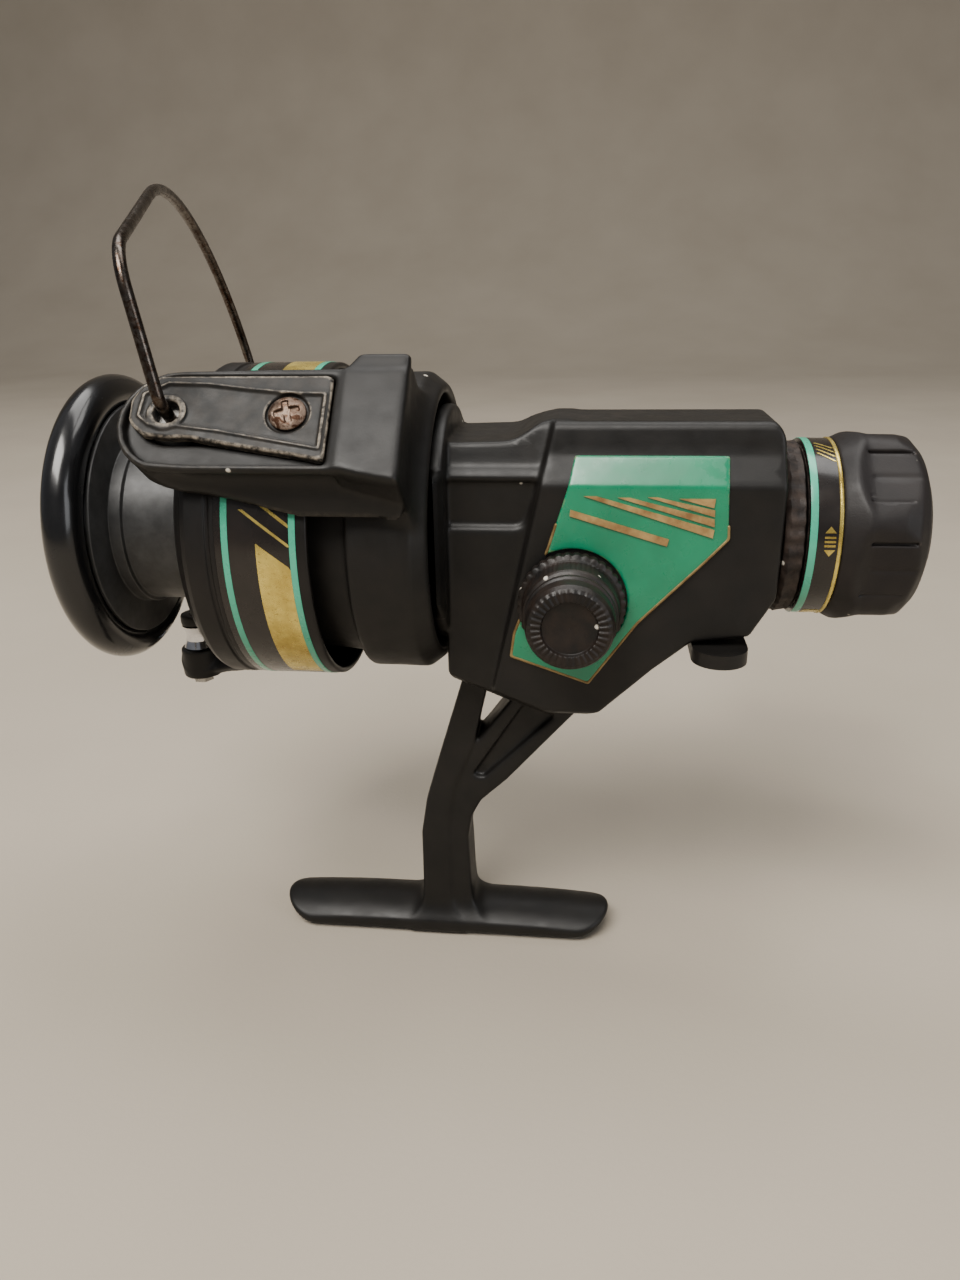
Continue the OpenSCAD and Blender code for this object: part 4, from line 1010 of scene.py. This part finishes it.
def drag_bands():
    collar = [(61.5, 12.0), (61.5, 14.4), (62.3, 15.2), (63.6, 14.9), (64.7, 15.1), (64.7, 12.0)]

    def chewed(along, radius, angle):
        if radius < 13:
            return 0
        coarse = math.sin(angle * 23 + along * 5) * math.sin(angle * 11 + 2)
        return 0.16 * coarse - 0.08 * math.sin(angle * 37)

    add_turned("drag_collar_ring", collar, RING, "body", ["drag_collar"], segments=240,
               shape=chewed)
    band = [(65.2, 14.6), (65.2, 15.4), (65.4, 15.5), (70, 15.5), (70, 14.6)]
    add_turned("drag_label", band, BAND, "drag_knob_unit", ["drag_band"], edge=0.08)
    line = [(65.3, 15.4), (65.3, 15.58), (66.5, 15.58), (66.5, 15.4)]
    add_turned("drag_stripe", line, GREEN_LINE, "drag_knob_unit", edge=0.05)
    gold = [(69.9, 14.6), (69.9, 15.55), (70.1, 15.68), (70.35, 15.68), (70.55, 15.55), (70.55, 14.6)]
    add_turned("drag_gold_ring", gold, GOLD, "drag_knob_unit", ["drag_ring"], edge=0.08)
    # arrows and bars that say which way the drag turns
    points, faces = [], []

    def add(low, high, left, right):
        merge(points, faces, patch(lambda a: (left(a), right(a)), low, high, 15.51, 8))

    mid = 68.6
    for turn in (4.5, 184.5):
        for k in range(3):
            low = turn - 3.2 + k * 2.6
            add(low, low + 1.3, lambda a: mid - 0.9, lambda a: mid + 0.9)
        add(turn + 5.4, turn + 9.4, lambda a, t=turn: mid - 0.9 * (t + 9.5 - a) / 4.1,
            lambda a, t=turn: mid + 0.9 * (t + 9.5 - a) / 4.1)
        add(turn - 9, turn - 5, lambda a, t=turn: mid - 0.9 * (a - t + 9.1) / 4.1,
            lambda a, t=turn: mid + 0.9 * (a - t + 9.1) / 4.1)
    for turn in (58, 238):
        for k in range(4):
            low = turn + 4.5 * k
            add(low, low + 8, lambda a, t=low: 69.5 - 0.33 * (a - t), lambda a, t=low: 69.9 - 0.33 * (a - t))
    for turn in (-74, 106):
        add(turn, turn + 17, lambda a: 67, lambda a: 69.7)
    add_piece("drag_marks", points, faces, GOLD, "drag_knob_unit")


# ---- handle side


def screw_cap():
    """Knurled cap on the near end of the handle axis."""
    front = NEAR_Y - 14.4
    rim = [(0.7, 0), (0.7, 9.1), (1.2, 9.3), (2.9, 9.3), (3.3, 8.5), (3.7, 8.25), (7.6, 8.15), (8.1, 7.95),
           (8.4, 7.5), (9.0, 7.45), (9.3, 7.75), (9.9, 7.7), (10.2, 7.3), (10.8, 7.3), (11.1, 7.5), (13.0, 7.3)]
    profile = [(NEAR_Y - out, radius) for out, radius in rim]
    profile += [(front + 0.5, 6.9), (front, 6.3), (front, 4.7), (front + 0.9, 4.5), (front + 0.9, 0)]

    def knurl(along, radius, angle):
        if along > NEAR_Y - 3 and radius > 9:
            return -0.28 * (0.5 + 0.5 * math.cos(angle * 36)) ** 2
        if NEAR_Y - 7.6 <= along < NEAR_Y - 3.6:
            return -0.07 * (0.5 + 0.5 * math.cos(angle * 60)) ** 3
        return 0

    points, faces = lathed(rounded(profile, 0.16, 3), about_drive, 288, knurl)
    points = [list(p) for p in points]
    for p in points:
        r = math.hypot(p[0] - DRIVE_X, p[2] - DRIVE_Z)
        if p[1] < front + 0.2 and 4.6 < r < 6.6:
            angle = math.atan2(p[2] - DRIVE_Z, p[0] - DRIVE_X)
            p[1] += 0.22 * (0.5 + 0.5 * math.cos(angle * 36))
    add_piece("screw_cap_knurled", points, oriented(points, faces), CAP, "drive",
              ["handle_screw_cap"], crease=50)


def handle_arm():
    crank_x, crank_y = 50.0, 40.0
    s = Space((DRIVE_X - 6, crank_y - 4, DRIVE_Z - 7), (DRIVE_X + crank_x + 8, crank_y + 4, DRIVE_Z + 7), 0.3)
    x, y, z = s.x - DRIVE_X, s.y - crank_y, s.z - DRIVE_Z
    t = np.clip((x - 9) / (crank_x - 9), 0, 1)
    blade = both(np.hypot(np.clip(x - crank_x, 0, None), z) - (4.2 + 1.3 * t), 9 - x, np.abs(y) - 1.8)
    hollow = both(np.hypot(x - np.clip(x, 17, crank_x - 10), z) - 2.1, 1.2 - np.abs(y))
    blade = cut(blade, hollow, 0.5)
    eye = both(np.hypot(x, y) - 4, np.abs(z) - 2.3)
    neck = both(slab(x, 0, 11), np.abs(y) - 2.2, np.abs(z) - 2.3)
    pad = both(np.hypot(x - crank_x, z) - 5.4, np.abs(y) - 1.8)
    body = join(join(join(eye, neck, 0.8), blade, 1.6), pad, 1.0)
    body = soften(body, 2)
    body = cut(body, np.hypot(x, y) - 1.55)
    body = cut(body, np.hypot(x - crank_x, z) - 2.0)
    add_moulding("handle_crank_arm", s, body, ROTOR, "crank", ["handle_arm"])


def handle_knob():
    low, high = box_mm("handle_knob")
    centre = (low + high) / 2 - [0, 0, AXIS_Z]

    def place(along, radius, angle):
        return (centre[0] + radius * math.cos(angle), along, centre[2] + radius * math.sin(angle))

    y0 = float(low[1])
    side = [(0, 2.06), (0, 4.4), (0.8, 5.2), (3.6, 6.1), (8, 6.4), (12, 6.9), (17, 8.0), (21.6, 9.1), (25, 9.5),
            (27.4, 9.3), (28.8, 8.5), (29.5, 7.2), (29.6, 3.55), (25.2, 3.55), (25.2, 2.06)]
    profile = [(y0 + out, radius) for out, radius in side]

    def grip(along, radius, angle):
        if radius < 5.5:
            return 0
        fade = math.exp(-((along - y0 - 17) / 9) ** 2)
        return -0.55 * fade * (0.5 + 0.5 * math.cos(angle * 8)) ** 4

    points, faces = lathed(rounded(profile, 1.2, 6), place, 192, grip)
    add_piece("handle_knob_grip", points, oriented(points, faces), KNOB, "grip",
              ["handle_knob"])
    low, high = box_mm("knob_cap")
    y1, y2 = float(low[1]), float(high[1])
    cap = [(y1, 0), (y1, 3.45), (y2 - 0.7, 3.45), (y2 - 0.2, 3.0), (y2, 2.2), (y2 - 0.35, 1.6),
           (y2 - 0.35, 0)]
    add_turned("knob_end_cap", cap, GLOSS, "grip", ["knob_cap"], place=place, edge=0.2)


# ---- carried-over nodes

CARRIED = [
    (STEEL, "cover_screws bearing_outer_race bearing_inner_race retainer_screws ratchet_wheel"),
    (STEEL, "anti_reverse_pawl oscillation_post guide_rail shaft_clips rotor_nut bail_spring"),
    (STEEL, "lever_pivot_screw roller_screw main_shaft keyed_washers eared_washers drag_spring"),
    (STEEL, "button_spring handle_shank fold_pin knob_spindle"),
    (CHROME, "bearing_balls line_roller"),
    (CAST, "bearing_retainer drive_gear bail_cam drag_nut"),
    (BRASS, "drive_bushes crosswind_block pinion_gear drag_sleeve"),
    (BODY, "anti_reverse_lever"),
    (ACETAL, "oscillation_gear"),
    (FELT, "friction_washers"),
]


def dress_carried():
    """Better materials on the nodes that are shown as the frame has them."""
    for material, nodes in CARRIED:
        for name in nodes.split():
            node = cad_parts[name]
            node.data.materials.clear()
            node.data.materials.append(material)


# ---- stage, light, camera


def stage():
    """Pale floor that rises into a backdrop far behind the reel."""
    low = CAD_BOUNDS[0]
    floor_z = min(low[2], float(box_mm("housing")[0][2]) * MM) - 0.0002
    reach, turn, rise = 1.1, 0.6, 2.2
    section = [(-1.6, 0.0), (reach, 0.0)]
    section += [(reach + turn * math.sin(a), turn * (1 - math.cos(a)))
                for a in (math.radians(4.5 * k) for k in range(1, 20))]
    section.append((reach + turn, rise))
    width = 3.2
    points = [(sx, y, floor_z + z) for y, z in section for sx in (-width, width)]
    faces = [(2 * i, 2 * i + 1, 2 * i + 3, 2 * i + 2) for i in range(len(section) - 1)]
    mesh = bpy.data.meshes.new("floor")
    mesh.from_pydata(points, [], faces)
    for p in mesh.polygons:
        p.use_smooth = True
    s = Shader("floor_cloth", roughness=0.9)
    s.colour(s.mix(s.ramp(s.noise(9, 3), 0.3, 0.7), srgb(158, 148, 133), srgb(165, 155, 140)))
    s.bump(s.noise(900, 2), 0.05)
    mesh.materials.append(s.material)
    add_object("floor", mesh)


def area_light(name, place, aim, size, power, colour=(1, 1, 1)):
    data = bpy.data.lights.new(name, "AREA")
    data.shape = "RECTANGLE"
    data.size, data.size_y = size
    data.energy, data.color = power, colour
    made = add_object(name, data)
    made.location = place
    made.rotation_mode = "QUATERNION"
    made.rotation_quaternion = (Vector(aim) - Vector(place)).to_track_quat("-Z", "Y")


def lights():
    aim = (0.02, 0.0, 0.08)
    area_light("key", (-0.25, -0.55, 0.95), aim, (0.7, 0.5), 20, (1.0, 0.965, 0.91))
    area_light("top", (0.1, 0.25, 1.1), aim, (1.3, 0.5), 11, (1.0, 0.98, 0.95))
    area_light("side", (1.1, -0.7, 0.5), aim, (0.6, 0.8), 5, (0.95, 0.97, 1.0))
    world = bpy.data.worlds.new("studio")
    bpy.context.scene.world = world
    world.use_nodes = True
    back = world.node_tree.nodes["Background"]
    back.inputs["Color"].default_value = (0.93, 0.95, 1.0, 1)
    back.inputs["Strength"].default_value = 0.2


CAMERA_AT = (29.2, -174.2, 44.7)                  # from the point where the spool axis crosses x = 0
AZIMUTH, ELEVATION, ROLL = (math.radians(a) for a in (6.8, 21.3, -1.04))
LENS, SENSOR = 27.06, 36.0


def camera():
    look = Vector((-math.sin(AZIMUTH) * math.cos(ELEVATION), math.cos(AZIMUTH) * math.cos(ELEVATION),
                   -math.sin(ELEVATION)))
    right = look.cross(Vector((0, 0, 1))).normalized()
    up = right.cross(look)
    c, s = math.cos(ROLL), math.sin(ROLL)
    right, up = c * right + s * up, -s * right + c * up
    data = bpy.data.cameras.new("camera")
    data.lens, data.sensor_width, data.sensor_fit = LENS, SENSOR, "AUTO"
    data.clip_start, data.clip_end = 0.005, 20
    made = add_object("camera", data)
    turn = Matrix((right, up, -look)).transposed().to_4x4()
    turn.translation = Vector(CAMERA_AT) * MM + Vector((0, 0, AXIS_Z * MM))
    made.matrix_world = turn
    bpy.context.scene.camera = made


camera()
stage()
lights()
housing()
side_cover()
badge()
rotor()
arm_cover()
screw_head("cover_screw_head", from_arm(SCREW_X, 0, ARM_TOP - 0.35), arm_axes()[1], (1, 0.25, 0.2), 3.1, 1.25,
           CORRODED, "rotor_unit", ["arm_cover_screw"])
bail_wire()
roller_lever()
spool()
drag_knob()
drag_bands()
screw_cap()
handle_arm()
handle_knob()
dress_carried()
